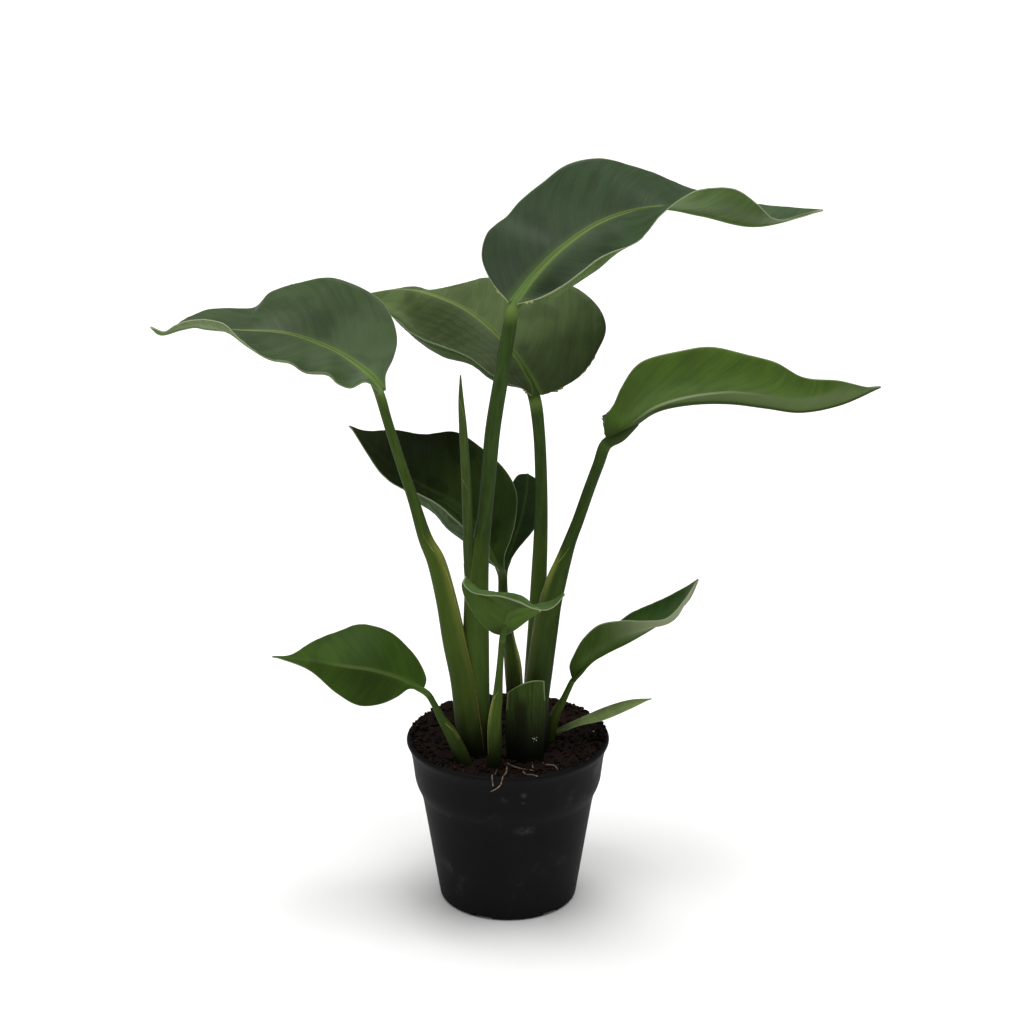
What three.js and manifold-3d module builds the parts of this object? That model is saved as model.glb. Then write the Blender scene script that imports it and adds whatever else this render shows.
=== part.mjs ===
// A young bird of paradise in a round nursery pot. Millimetres, +Z up.
// The origin is the middle of the pot's flat base; the plant's flatter front faces -Y.
//
// Each leaf grew as one piece, so each is one mesh: a sheath that clasps the next leaf,
// a petiole, a midrib and a blade. A blade is lofted over three rails (its midrib and its
// two margins), and a stem is a round section swept through stations.
import * as THREE from 'three';
import { mergeVertices } from 'three/addons/utils/BufferGeometryUtils.js';
import Module from 'manifold-3d';

const wasm = await Module();
wasm.setup();

// ---- Driving dimensions -------------------------------------------------------------

const POT_HEIGHT = 102;
const RIM_RADIUS = 60;
const COLLAR_RADIUS = 56;
const BODY_TOP_RADIUS = 50.5;
const BASE_RADIUS = 41;
const BODY_TOP = 62;
const COLLAR_FOOT = 76;
const COLLAR_FLARE = 1.5;
const WALL = 1.2;
const FLOOR = 1.5;
const POT_SIDES = 40;

const SLOT_COUNT = 6;
const SLOT_WIDTH = 11;
const SLOT_DEPTH = 5;
const SLOT_HEIGHT = 1.9;
const FIRST_SLOT_ANGLE = THREE.MathUtils.degToRad(-111);

// The soil is banked up: it rises to the back and at the wall, and drops to the front rim.
// Each of these changes its height by so much, eased between two distances.
const SOIL_LEVEL = 99.5;
const SOIL_BACK_RISE = { by: 3.6, from: -10, to: 45 };
const SOIL_WALL_RISE = { by: 1.2, from: 40, to: 55 };
const SOIL_FRONT_DROP = { by: -2.4, from: 34, to: 55 };
const SOIL_LUMP = 0.7;
const SOIL_LUMP_PITCH = 4.1;
const SOIL_FLOOR = 5;
const SOIL_RINGS = 7;
const SOIL_SIDES = 32;

const CLEARANCE = 0.35;
const BLADE_EDGE = 0.7;
const BLADE_MIDDLE = 1.1;
const STEM_SIDES = 10;
const RIB_TIP_HEIGHT = 0.5;
const BLUNT_RIB_HEIGHT = 0.4;
const TIP_HALF_WIDTH = 0.6;

// Under the blade the petiole runs on into the midrib: at these rows, with these shares
// of its radius, sunk below the blade by SUNK of that.
const RUN_ON = [[1, 0.9], [2, 0.65], [3, 0.4]];
const SUNK = 0.8;

// A blade's sag is w * w * (1 - w) across, times this to make its deepest point 1.
const SAG_PEAK = 6.75;
const FULL_SAG_REACH = 8;

// ---- The leaves ---------------------------------------------------------------------
// stem: stations from the foot in the soil to the blade, as [x, y, z, radius].
// rib, left, right: the rails from the blade's base to its tip. Left and right are as
// seen from the upper face, looking to the tip.
// cup: how far each half sags below a straight line from rib to margin, at even steps
// from base to tip. It sags most at two thirds of the way out.

const LEAVES = [
  {
    name: 'leaf_top',
    colour: '#2f4a34',
    rows: 24,
    stem: [
      [-17, -15, 74, 7.0], [-18, -15, 98, 8.0], [-18.5, -15, 131, 7.9], [-18.5, -13, 169, 7.6],
      [-18, -11, 199, 6.9], [-16.5, -9, 220, 5.8], [-13.5, -7, 241, 4.3], [-11, -4, 267, 4.3],
      [-8.5, -1, 294, 4.4], [-3, 3, 328, 4.2], [0.5, 6, 350, 3.9], [3, 8, 362, 3.6],
    ],
    rib: [
      [3, 8, 366], [14, 18, 378], [31, 30, 392], [56, 43, 405], [87, 52, 410], [111, 56, 405],
      [142, 54, 399], [180, 44, 411],
    ],
    left: [
      [0, 8, 367], [-10, 18, 377], [-15, 28, 388], [-12, 37, 399], [-7, 41, 403], [-1, 47, 406],
      [7, 53, 414], [21, 59, 424], [31, 63, 431], [39, 65, 434], [53, 68, 435], [77, 76, 427],
      [106, 86, 413], [130, 84, 406], [158, 70, 406], [180, 44, 411],
    ],
    right: [
      [5, 6, 366], [18, 2, 371], [31, 0, 379], [52, 4, 394], [74, 8, 403], [88, 14, 418],
      [107, 22, 428], [129, 32, 426], [142, 37, 416], [152, 38, 407], [167, 42, 407], [180, 44, 411],
    ],
    cup: { left: [0, 0, 0], right: [0, 9, 11, 3, 0, 3, 2, 0, 0] },
  },
  {
    name: 'leaf_left_high',
    colour: '#3a5539',
    rows: 32,
    stem: [
      [-20, -20, 76, 6.6], [-20.5, -20, 98, 8.2], [-22.5, -19, 120, 8.5], [-26, -18, 146, 7.6],
      [-31, -17, 170, 7.0], [-35.5, -16, 195, 6.1], [-41.5, -14, 219, 5.3], [-47, -13, 231, 4.2],
      [-54, -12, 255, 3.2], [-61.5, -11, 279, 2.9], [-68.5, -10, 303, 2.8], [-72, -9, 316, 2.9],
    ],
    rib: [
      [-71, -8, 319], [-77, -4, 326], [-90, 4, 334], [-106, 12, 340], [-127, 18, 345],
      [-153, 20, 346], [-172, 16, 349], [-178, 13, 351], [-186, 11, 350], [-197, 8, 348],
      [-202, 6, 353],
    ],
    left: [
      [-73, -10, 319], [-80, -14, 327], [-88, -20, 325], [-95, -24, 329], [-100, -28, 336],
      [-113, -30, 338], [-121, -29, 343], [-133, -26, 344], [-147, -22, 352], [-158, -14, 360],
      [-166, -8, 361], [-179, -2, 359], [-188, 2, 355], [-195, 6, 350], [-202, 6, 353],
    ],
    right: [
      [-69, -8, 321], [-69, -2, 327], [-65, 6, 334], [-63, 14, 342], [-66, 22, 353],
      [-75, 31, 363], [-99, 38, 372], [-117, 46, 368], [-138, 52, 359], [-147, 54, 350],
      [-161, 52, 350], [-175, 44, 351], [-186, 32, 349], [-195, 16, 347], [-202, 6, 353],
    ],
    cup: { left: [0, 4, 5, 4, 3, 1, 0], right: [0, 0, 0] },
  },
  {
    name: 'leaf_back_centre',
    colour: '#2c4a2e',
    rows: 24,
    stem: [
      [14, -8, 76, 5.2], [14, -8, 98, 6.0], [14.5, -6, 121, 5.9], [15.5, -2, 146, 5.6],
      [17, 4, 170, 5.3], [18, 10, 195, 4.7], [19, 14.5, 219, 4.2], [19.5, 19, 243, 3.7],
      [19, 23, 267, 3.5], [18, 26, 284, 3.5], [16, 29, 300, 3.7],
    ],
    rib: [
      [17, 30, 304], [13, 38, 311], [4, 50, 322], [-5, 62, 329], [-22, 82, 338], [-40, 102, 341],
      [-62, 124, 340], [-94, 150, 328],
    ],
    left: [
      [14, 28, 304], [8, 22, 311], [0, 18, 315], [-8, 16, 320], [-22, 24, 329], [-39, 40, 331],
      [-54, 60, 331], [-68, 90, 333], [-83, 125, 333], [-94, 150, 328],
    ],
    right: [
      [20, 31, 304], [30, 33, 307], [42, 36, 314], [52, 42, 327], [57, 48, 338], [54, 58, 347],
      [42, 72, 355], [22, 88, 358], [4, 102, 356], [-11, 112, 351], [-20, 116, 348], [-29, 121, 340],
      [-38, 127, 336], [-57, 140, 337], [-78, 148, 331], [-94, 150, 328],
    ],
    cup: { left: [0, 8, 14, 12, 4, 0], right: [0, 0, 0] },
  },
  {
    name: 'leaf_right_high',
    colour: '#4f7a33',
    rows: 24,
    stem: [
      [16, -14, 74, 6.4], [16, -14, 98, 7.8], [16, -13, 127, 7.8], [19, -11, 152, 7.6],
      [22, -9, 174, 7.3], [25, -7, 190, 6.4], [28, -5, 202, 6.0], [32, -3.5, 214, 4.7],
      [36, -2, 226, 3.7], [40.5, -0.5, 238, 3.4], [46.5, 1, 256, 3.3], [52, 1, 272, 3.3],
      [56.5, 2, 284, 3.5],
    ],
    rib: [
      [57, 2, 287], [69, 0, 295], [84, -2, 306], [104, -4, 311], [126, -6, 312], [146, -8, 310],
      [166, -10, 308], [188, -12, 313], [210, -14, 324],
    ],
    left: [
      [59, 3, 288], [66, 16, 295], [80, 32, 303], [106, 38, 313], [135, 38, 316], [163, 30, 313],
      [190, 10, 315], [210, -14, 324],
    ],
    right: [
      [55, 0, 291], [55, -6, 302], [60, -12, 313], [64, -18, 325], [74, -26, 342], [96, -30, 350],
      [113, -32, 353], [132, -33, 349], [149, -32, 344], [165, -28, 334], [186, -22, 330],
      [204, -16, 324], [210, -14, 324],
    ],
    cup: { left: [0, 4, 4, 4, 0], right: [0, 6, 7, 6, 3, 0] },
  },
  {
    name: 'leaf_back_dark',
    colour: '#20351f',
    rows: 20,
    stem: [
      [4, 38, 78, 4.4], [4, 38, 98, 5.4], [4, 38, 115, 5.2], [3, 39, 132, 4.8], [1, 40, 146, 3.4],
      [-1, 42, 160, 2.8], [-3, 44, 174, 2.8], [-3.5, 46, 186, 2.7],
    ],
    rib: [
      [-4, 46, 189], [-12, 54, 204], [-30, 64, 224], [-47, 70, 231], [-65, 76, 240], [-80, 80, 252],
      [-95, 84, 267],
    ],
    left: [
      [-5, 44, 189], [-11, 38, 199], [-19, 34, 213], [-28, 34, 223], [-40, 40, 232], [-53, 48, 237],
      [-65, 56, 238], [-76, 64, 244], [-84, 74, 252], [-90, 80, 260], [-95, 84, 267],
    ],
    right: [
      [-2, 46, 190], [-2, 46, 198], [2, 50, 208], [5, 56, 220], [5, 62, 233], [-1, 70, 243],
      [-15, 82, 253], [-32, 90, 261], [-50, 94, 258], [-68, 96, 260], [-86, 92, 261], [-95, 84, 267],
    ],
    cup: { left: [0, 7, 10, 7, 0, -1, 0], right: [0, 0, 0] },
  },
  {
    name: 'leaf_back_small',
    colour: '#24381f',
    rows: 10,
    small: true,
    stem: [
      [2.5, 47, 80, 2.2], [2, 47, 101, 2.6], [0, 47.5, 130, 2.4], [-1, 49, 156, 2.1],
      [-2, 51.5, 186, 1.9],
    ],
    rib: [[-2, 52, 188], [3, 60, 200], [8, 70, 212], [11, 80, 224], [12, 88, 235]],
    left: [[-3.5, 52, 189], [-3, 62, 199], [-2, 74, 213], [1, 84, 226], [6, 88, 234], [12, 88, 235]],
    right: [
      [-0.5, 52, 189], [5.5, 56, 198], [15, 62, 208], [22, 70, 218], [22, 78, 227], [17, 84, 233],
      [12, 88, 235],
    ],
    cup: { left: [0, 0], right: [0, 0] },
  },
  {
    name: 'leaf_front_cupped',
    colour: '#567a49',
    rows: 18,
    small: true,
    stem: [
      [-8, -38, 78, 3.4], [-8, -38, 97, 4.1], [-7.5, -39, 117, 4.2], [-7.5, -40, 131, 3.8],
      [-6, -41, 144, 3.0], [-5, -43, 158, 2.2], [-4, -46, 173, 1.8], [-3, -49.5, 185, 1.9],
    ],
    rib: [[-3, -50, 188], [-1, -56, 198], [1, -64, 207], [6, -76, 215], [13, -87, 220], [18, -98, 222]],
    left: [
      [-1, -49, 187], [4, -47, 189], [12, -46, 195], [23, -48, 205], [31, -51, 213], [32, -57, 215],
      [29, -68, 215], [23, -84, 217], [18, -98, 222],
    ],
    right: [
      [-4, -50, 187], [-9, -48, 188], [-17, -48, 196], [-24, -50, 209], [-26, -51, 219],
      [-24, -50, 223], [-25, -58, 222], [-21, -65, 220], [-13, -71, 220], [-4, -78, 222],
      [6, -87, 222], [13, -95, 222], [18, -98, 222],
    ],
    cup: { left: [0, 2, 2, 0], right: [0, 2, 1, -4, -4, -1] },
  },
  {
    name: 'leaf_low_left',
    colour: '#3d6a35',
    rows: 16,
    small: true,
    stem: [
      [-23, -33, 80, 3.0], [-24.3, -33, 97, 3.9], [-28, -33, 107, 4.3], [-33, -33, 118, 3.7],
      [-38.8, -34, 129, 2.5], [-42.3, -35, 137, 1.9], [-46.5, -36.5, 145, 1.9],
    ],
    rib: [
      [-50, -38, 149], [-62, -42, 157], [-78, -46, 164], [-93, -50, 168], [-110, -52, 172],
      [-134, -52, 175],
    ],
    left: [
      [-52, -40, 149], [-57, -44, 151], [-63, -50, 149], [-73, -54, 146], [-85, -58, 147],
      [-98, -58, 155], [-113, -56, 168], [-134, -52, 175],
    ],
    right: [
      [-48, -36, 149], [-47, -34, 153], [-51, -30, 162], [-58, -26, 170], [-69, -24, 179],
      [-85, -24, 183], [-98, -30, 181], [-112, -38, 178], [-124, -48, 174], [-134, -52, 175],
    ],
    cup: { left: [0, 0], right: [0, 0] },
  },
  {
    name: 'leaf_low_right',
    colour: '#4f7a3a',
    rows: 16,
    small: true,
    stem: [
      [23.5, -2, 76, 2.4], [23.5, -2, 94, 3.0], [24.5, -2, 101, 3.2], [26.5, -2, 111, 3.3],
      [29, -2, 119, 2.9], [32.5, -2, 125.5, 2.1], [35.5, -1, 132, 1.8], [38, 0, 137, 1.7],
    ],
    rib: [
      [38, 0, 139], [47, -1, 149], [57, -2, 156], [71, -3, 164], [86, -4, 174], [97, -4, 182],
      [105, -4, 191], [110, -4, 203],
    ],
    left: [
      [41, 1, 141], [49, 12, 149], [58, 22, 157], [72, 26, 169], [87, 22, 178], [101, 12, 190],
      [110, -4, 203],
    ],
    right: [
      [37, -1, 141], [36, -5, 149], [39, -9, 159], [44, -13, 170], [53, -17, 180], [66, -18, 183],
      [79, -16, 182], [92, -12, 182], [101, -8, 190], [110, -4, 203],
    ],
    cup: { left: [0, 2, 2, 0], right: [0, 4, 4, 0] },
  },
  {
    name: 'leaf_narrow_right',
    colour: '#5c7a3f',
    rows: 8,
    small: true,
    stem: [[28.5, 5, 84, 1.2], [28.6, 3.5, 96, 1.5], [29, 2, 102, 1.4]],
    rib: [[29.3, 1.5, 103.5], [42, -3.5, 112], [57, -7, 120.5], [72, -10, 127], [84, -12, 131]],
    left: [[28.3, 2.5, 104.5], [42, -0.5, 113], [56, -2, 120.5], [72, -7, 128], [84, -12, 131]],
    right: [[29.3, 0.5, 102.5], [42, -6.5, 111], [57, -12, 117.5], [72, -13, 125], [84, -12, 131]],
    cup: { left: [0, 0], right: [0, 0] },
  },
];

// The rolled, unopened leaf that stands out of the middle shoot's sheath.
const SPEAR_STATIONS = [
  [-18.5, -14.5, 73, 2.6], [-19, -14.5, 131, 2.8], [-20.5, -13, 185, 2.9], [-22.5, -12, 218, 2.9],
  [-23.5, -11, 255, 3.0], [-24.5, -10, 276, 2.7], [-25.5, -10, 297, 2.4], [-26.5, -9, 314, 1.6],
  [-26.7, -9, 329, 0.4],
];

// A short, blunt sheath leaf that clasps the front of the right shoot's foot.
const BLUNT_LEAF = {
  rows: 8,
  rib: [[11, -33, 84], [11, -33, 114], [11, -30.5, 134], [10.5, -28.5, 148.5]],
  left: [[1, -28, 84], [-1, -28, 110], [-1, -26, 126], [0, -24, 140]],
  right: [[20, -28, 84], [21, -28, 112], [21.5, -26, 132], [21, -24, 147.5]],
  cup: { left: [2, 2], right: [2, 2] },
};

// ---- Solids -------------------------------------------------------------------------

/** A closed mesh, its shared vertices merged, as a solid that can be joined and cut. */
function toSolid(geometry) {
  const bare = geometry.clone();
  bare.deleteAttribute('normal');
  bare.deleteAttribute('uv');
  const merged = mergeVertices(bare, 1e-4);
  return new wasm.Manifold(new wasm.Mesh({
    numProp: 3,
    vertProperties: new Float32Array(merged.attributes.position.array),
    triVerts: new Uint32Array(merged.index.array),
  }));
}

/** The largest connected body of a solid, as a three.js geometry. */
function toGeometry(solid) {
  const bodies = solid.decompose();
  const body = bodies.reduce((best, next) => (next.volume() > best.volume() ? next : best));
  const { vertProperties, triVerts } = body.getMesh();
  const geometry = new THREE.BufferGeometry();
  geometry.setAttribute('position', new THREE.BufferAttribute(vertProperties, 3));
  geometry.setIndex(new THREE.BufferAttribute(triVerts, 1));
  geometry.computeVertexNormals();
  return geometry;
}

/** A geometry from rows of points and triangles given by point number. */
function indexed(points, triangles) {
  const geometry = new THREE.BufferGeometry().setFromPoints(points);
  geometry.setIndex(triangles);
  return geometry;
}

/** A value read from a list of evenly spaced ones, eased from each to the next. */
function along(values, u) {
  const place = u * (values.length - 1);
  const k = Math.min(Math.floor(place), values.length - 2);
  const t = place - k;
  return THREE.MathUtils.lerp(values[k], values[k + 1], t * t * (3 - 2 * t));
}

const rail = (points) => new THREE.CatmullRomCurve3(points.map((p) => new THREE.Vector3(...p)));

// ---- Blades -------------------------------------------------------------------------

const COLUMNS = [-1, -0.78, -0.52, -0.26, -0.05, 0, 0.05, 0.26, 0.52, 0.78, 1];
const SMALL_COLUMNS = [-1, -0.55, -0.09, 0, 0.09, 0.55, 1];

/** The middle surface of a blade: rows of points from the left margin to the right. */
function bladeSurface(leaf, columns) {
  const rib = rail(leaf.rib);
  const margins = { left: rail(leaf.left), right: rail(leaf.right) };
  const surface = [];
  for (let i = 0; i <= leaf.rows; i += 1) {
    const u = i / leaf.rows;
    const middle = rib.getPointAt(u);
    const forward = rib.getTangentAt(u);
    const row = columns.map((v) => {
      const side = v < 0 ? 'left' : 'right';
      const reach = margins[side].getPointAt(u).sub(middle);
      if (reach.length() < TIP_HALF_WIDTH) {
        const before = (i - 1) / leaf.rows;
        reach.copy(margins[side].getPointAt(before)).sub(rib.getPointAt(before));
        reach.setLength(TIP_HALF_WIDTH);
      }
      const down = new THREE.Vector3().crossVectors(forward, reach).normalize();
      if (side === 'left') down.negate();
      const w = Math.abs(v);
      const depth = along(leaf.cup[side], u) * Math.min(1, reach.length() / FULL_SAG_REACH);
      const sag = depth * SAG_PEAK * w * w * (1 - w);
      return middle.clone().addScaledVector(reach, w).addScaledVector(down, sag);
    });
    surface.push(row);
  }
  return surface;
}

/** The way the upper face looks at one point of a surface. */
function upward(surface, i, j) {
  const last = surface.length - 1;
  const end = surface[0].length - 1;
  const ahead = surface[Math.min(i + 1, last)][j].clone().sub(surface[Math.max(i - 1, 0)][j]);
  const across = surface[i][Math.min(j + 1, end)].clone().sub(surface[i][Math.max(j - 1, 0)]);
  return across.cross(ahead).normalize();
}

/** A thin closed sheet round a surface, with the midrib as a ridge under it. */
function sheet(surface, columns, ribHeight, grow = 0) {
  const wide = columns.length;
  const points = [];
  for (const sign of [1, -1]) {
    surface.forEach((row, i) => row.forEach((point, j) => {
      const half = THREE.MathUtils.lerp(BLADE_MIDDLE, BLADE_EDGE, Math.abs(columns[j])) / 2 + grow;
      const ridge = sign < 0 && columns[j] === 0 ? ribHeight(i / (surface.length - 1)) : 0;
      points.push(point.clone().addScaledVector(upward(surface, i, j), sign * (half + ridge)));
    }));
  }
  const below = surface.length * wide;
  const triangles = [];
  const quad = (a, b, c, d) => triangles.push(a, b, c, a, c, d);
  for (let i = 0; i < surface.length - 1; i += 1) {
    for (let j = 0; j < wide - 1; j += 1) {
      const a = i * wide + j;
      triangles.push(a, a + 1, a + wide + 1, a, a + wide + 1, a + wide);
      const b = a + below;
      triangles.push(b, b + wide + 1, b + 1, b, b + wide, b + wide + 1);
    }
    const left = i * wide;
    const right = left + wide - 1;
    quad(left, left + wide, left + wide + below, left + below);
    quad(right, right + below, right + wide + below, right + wide);
  }
  const tip = (surface.length - 1) * wide;
  for (let j = 0; j < wide - 1; j += 1) {
    quad(j, j + below, j + 1 + below, j + 1);
    quad(tip + j, tip + j + 1, tip + j + 1 + below, tip + j + below);
  }
  return indexed(points, triangles);
}

// ---- Stems --------------------------------------------------------------------------

const FRONT = new THREE.Vector3(0, -1, 0);

/** A round section swept through stations, with flat ends. */
function tube(stations, grow = 0) {
  const places = stations.map(([x, y, z]) => new THREE.Vector3(x, y, z));
  const foot = places[0].clone().sub(places[1]).setLength(grow);
  const head = places[places.length - 1].clone().sub(places[places.length - 2]).setLength(grow);
  places[0].add(foot);
  places[places.length - 1].add(head);
  const points = [];
  stations.forEach(([, , , radius], i) => {
    const before = places[Math.max(i - 1, 0)];
    const forward = places[Math.min(i + 1, places.length - 1)].clone().sub(before).normalize();
    const front = FRONT.clone().addScaledVector(forward, -FRONT.dot(forward)).normalize();
    const side = new THREE.Vector3().crossVectors(forward, front);
    for (let k = 0; k < STEM_SIDES; k += 1) {
      const angle = (2 * Math.PI * k) / STEM_SIDES;
      points.push(places[i].clone()
        .addScaledVector(front, (radius + grow) * Math.cos(angle))
        .addScaledVector(side, (radius + grow) * Math.sin(angle)));
    }
  });
  const triangles = [];
  for (let i = 0; i < stations.length - 1; i += 1) {
    for (let k = 0; k < STEM_SIDES; k += 1) {
      const next = (k + 1) % STEM_SIDES;
      const a = i * STEM_SIDES;
      const b = a + STEM_SIDES;
      triangles.push(a + k, a + next, b + next, a + k, b + next, b + k);
    }
  }
  const top = (stations.length - 1) * STEM_SIDES;
  for (let k = 1; k < STEM_SIDES - 1; k += 1) {
    triangles.push(0, k + 1, k, top, top + k, top + k + 1);
  }
  return indexed(points, triangles);
}

/** A leaf's stem stations, carried on a little way under the blade's midrib. */
function stemStations(leaf, surface, columns) {
  const middle = columns.indexOf(0);
  const radius = leaf.stem[leaf.stem.length - 1][3];
  const runOn = RUN_ON.map(([row, share]) => {
    const place = surface[row][middle].clone();
    place.addScaledVector(upward(surface, row, middle), -radius * share * SUNK);
    return [...place.toArray(), radius * share];
  });
  return [...leaf.stem, ...runOn];
}

// ---- Pot and soil -------------------------------------------------------------------

/** A solid turned about the Z axis from a closed half section of [radius, height]. */
function turned(section, sides) {
  const profile = section.map(([radius, height]) => new THREE.Vector2(radius, height));
  const geometry = new THREE.LatheGeometry(profile, sides);
  geometry.rotateX(Math.PI / 2);
  return toSolid(geometry);
}

/** The inside radius of the pot at a height. */
function innerRadius(height) {
  const heights = [0, BODY_TOP, COLLAR_FOOT, POT_HEIGHT];
  const radii = [BASE_RADIUS, BODY_TOP_RADIUS, COLLAR_RADIUS - 1, COLLAR_RADIUS + COLLAR_FLARE];
  const k = Math.max(heights.findIndex((top, n) => n > 0 && height <= top), 1) - 1;
  const share = (height - heights[k]) / (heights[k + 1] - heights[k]);
  return THREE.MathUtils.lerp(radii[k], radii[k + 1], share) - WALL;
}

function makePot() {
  const foot = [[0, 0], [BASE_RADIUS - 1.5, 0], [BASE_RADIUS - 0.3, 1.2], [BASE_RADIUS + 0.2, 4]];
  const step = [
    [BODY_TOP_RADIUS - 0.3, BODY_TOP], [BODY_TOP_RADIUS + 0.8, BODY_TOP + 5],
    [COLLAR_RADIUS - 2.2, COLLAR_FOOT - 3.5], [COLLAR_RADIUS - 1, COLLAR_FOOT + 0.5],
  ];
  const collar = [[COLLAR_RADIUS + 1, POT_HEIGHT - 9], [COLLAR_RADIUS + 1.4, POT_HEIGHT - 6]];
  const lip = [
    [RIM_RADIUS - 0.6, POT_HEIGHT - 4.5], [RIM_RADIUS, POT_HEIGHT - 2.5],
    [RIM_RADIUS - 0.6, POT_HEIGHT - 0.5], [RIM_RADIUS - 1.6, POT_HEIGHT],
    [innerRadius(POT_HEIGHT), POT_HEIGHT - 0.4],
  ];
  const inside = [POT_HEIGHT - 4, COLLAR_FOOT, BODY_TOP, FLOOR].map((z) => [innerRadius(z), z]);
  const section = [...foot, ...step, ...collar, ...lip, ...inside, [0, FLOOR]];
  let pot = turned(section, POT_SIDES);
  const block = new THREE.BoxGeometry(SLOT_DEPTH * 2, SLOT_WIDTH, SLOT_HEIGHT * 2);
  for (let k = 0; k < SLOT_COUNT; k += 1) {
    const slot = block.clone().translate(BASE_RADIUS, 0, 0);
    slot.rotateZ(FIRST_SLOT_ANGLE + (2 * Math.PI * k) / SLOT_COUNT);
    pot = pot.subtract(toSolid(slot));
  }
  return pot;
}

/** How much a change in height has come to at a distance. */
function eased({ by, from, to }, distance) {
  return by * THREE.MathUtils.smoothstep(distance, from, to);
}

/** How high the soil stands at a place. */
function soilHeight(x, y) {
  const bank = eased(SOIL_BACK_RISE, y) + eased(SOIL_FRONT_DROP, -y);
  const wall = eased(SOIL_WALL_RISE, Math.hypot(x, y));
  const lump = Math.sin(x / SOIL_LUMP_PITCH + 1) * Math.cos(y / SOIL_LUMP_PITCH);
  return SOIL_LEVEL + bank + wall + SOIL_LUMP * lump;
}

function makeSoil() {
  const points = [];
  const triangles = [];
  const outer = innerRadius(SOIL_LEVEL) - CLEARANCE;
  for (let ring = 1; ring <= SOIL_RINGS; ring += 1) {
    const radius = (outer * ring) / SOIL_RINGS;
    for (let k = 0; k < SOIL_SIDES; k += 1) {
      const angle = (2 * Math.PI * k) / SOIL_SIDES;
      const [x, y] = [radius * Math.cos(angle), radius * Math.sin(angle)];
      points.push(new THREE.Vector3(x, y, soilHeight(x, y)));
    }
  }
  for (const height of [COLLAR_FOOT, BODY_TOP, SOIL_FLOOR]) {
    for (let k = 0; k < SOIL_SIDES; k += 1) {
      const angle = (2 * Math.PI * k) / SOIL_SIDES;
      const radius = innerRadius(height) - CLEARANCE;
      points.push(new THREE.Vector3(radius * Math.cos(angle), radius * Math.sin(angle), height));
    }
  }
  const rings = SOIL_RINGS + 3;
  for (let ring = 0; ring < rings - 1; ring += 1) {
    for (let k = 0; k < SOIL_SIDES; k += 1) {
      const next = (k + 1) % SOIL_SIDES;
      const [a, b] = [ring * SOIL_SIDES, (ring + 1) * SOIL_SIDES];
      triangles.push(a + k, b + k, b + next, a + k, b + next, a + next);
    }
  }
  const crown = points.push(new THREE.Vector3(0, 0, soilHeight(0, 0))) - 1;
  const foot = points.push(new THREE.Vector3(0, 0, SOIL_FLOOR)) - 1;
  const lowest = (rings - 1) * SOIL_SIDES;
  for (let k = 0; k < SOIL_SIDES; k += 1) {
    const next = (k + 1) % SOIL_SIDES;
    triangles.push(crown, k, next, foot, lowest + next, lowest + k);
  }
  return toSolid(indexed(points, triangles));
}

// ---- The plant ----------------------------------------------------------------------

/** A leaf as one solid, and the hole that its stem needs in the soil or in a sheath. */
function makeLeaf(leaf) {
  const columns = leaf.small ? SMALL_COLUMNS : COLUMNS;
  const surface = bladeSurface(leaf, columns);
  const stations = stemStations(leaf, surface, columns);
  const topRadius = leaf.stem[leaf.stem.length - 1][3];
  const ribHeight = (u) => THREE.MathUtils.lerp(topRadius * SUNK, RIB_TIP_HEIGHT, Math.cbrt(u));
  const blade = toSolid(sheet(surface, columns, ribHeight));
  const stem = toSolid(tube(stations));
  const hole = toSolid(tube(stations, CLEARANCE));
  return { solid: blade.add(stem), hole };
}

/** The short sheath leaf, and the wider slit that it needs in the soil. */
function makeBluntLeaf() {
  const surface = bladeSurface(BLUNT_LEAF, SMALL_COLUMNS);
  const solid = toSolid(sheet(surface, SMALL_COLUMNS, () => BLUNT_RIB_HEIGHT));
  const wider = { ...BLUNT_LEAF };
  for (const side of ['rib', 'left', 'right']) {
    const outward = { rib: 0, left: -1, right: 1 }[side] * CLEARANCE;
    wider[side] = BLUNT_LEAF[side].map(([x, y, z], n) => [x + outward, y, n ? z : z - CLEARANCE]);
  }
  const around = bladeSurface(wider, SMALL_COLUMNS);
  const hole = toSolid(sheet(around, SMALL_COLUMNS, () => BLUNT_RIB_HEIGHT, CLEARANCE));
  return { solid, hole };
}

const potSolid = makePot();
const leaves = Object.fromEntries(LEAVES.map((leaf) => [leaf.name, makeLeaf(leaf)]));
const spear = toSolid(tube(SPEAR_STATIONS));
const spearHole = toSolid(tube(SPEAR_STATIONS, CLEARANCE));

// Each sheath is hollowed for the stem that it clasps.
const { leaf_top: top, leaf_left_high: leftHigh, leaf_right_high: rightHigh } = leaves;
top.solid = top.solid.subtract(spearHole);
leftHigh.solid = leftHigh.solid.subtract(top.hole).subtract(spearHole);
rightHigh.solid = rightHigh.solid.subtract(leaves.leaf_back_centre.hole);

const bluntLeaf = makeBluntLeaf();
let soil = makeSoil().subtract(spearHole).subtract(bluntLeaf.hole);
for (const { hole } of Object.values(leaves)) soil = soil.subtract(hole);

// ---- Scene graph --------------------------------------------------------------------

const group = new THREE.Group();

function place(name, solid, colour, roughness) {
  const material = new THREE.MeshStandardMaterial({ color: colour, roughness, metalness: 0 });
  const mesh = new THREE.Mesh(toGeometry(solid), material);
  mesh.name = name;
  group.add(mesh);
}

place('pot', potSolid, '#1b1b1c', 0.6);
place('soil', soil, '#2c1d16', 0.95);
for (const { name, colour } of LEAVES) place(name, leaves[name].solid, colour, 0.45);
place('spear_leaf', spear, '#4b6b3c', 0.45);
place('leaf_short_blunt', bluntLeaf.solid, '#4b6b3c', 0.5);

export default group;
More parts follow.
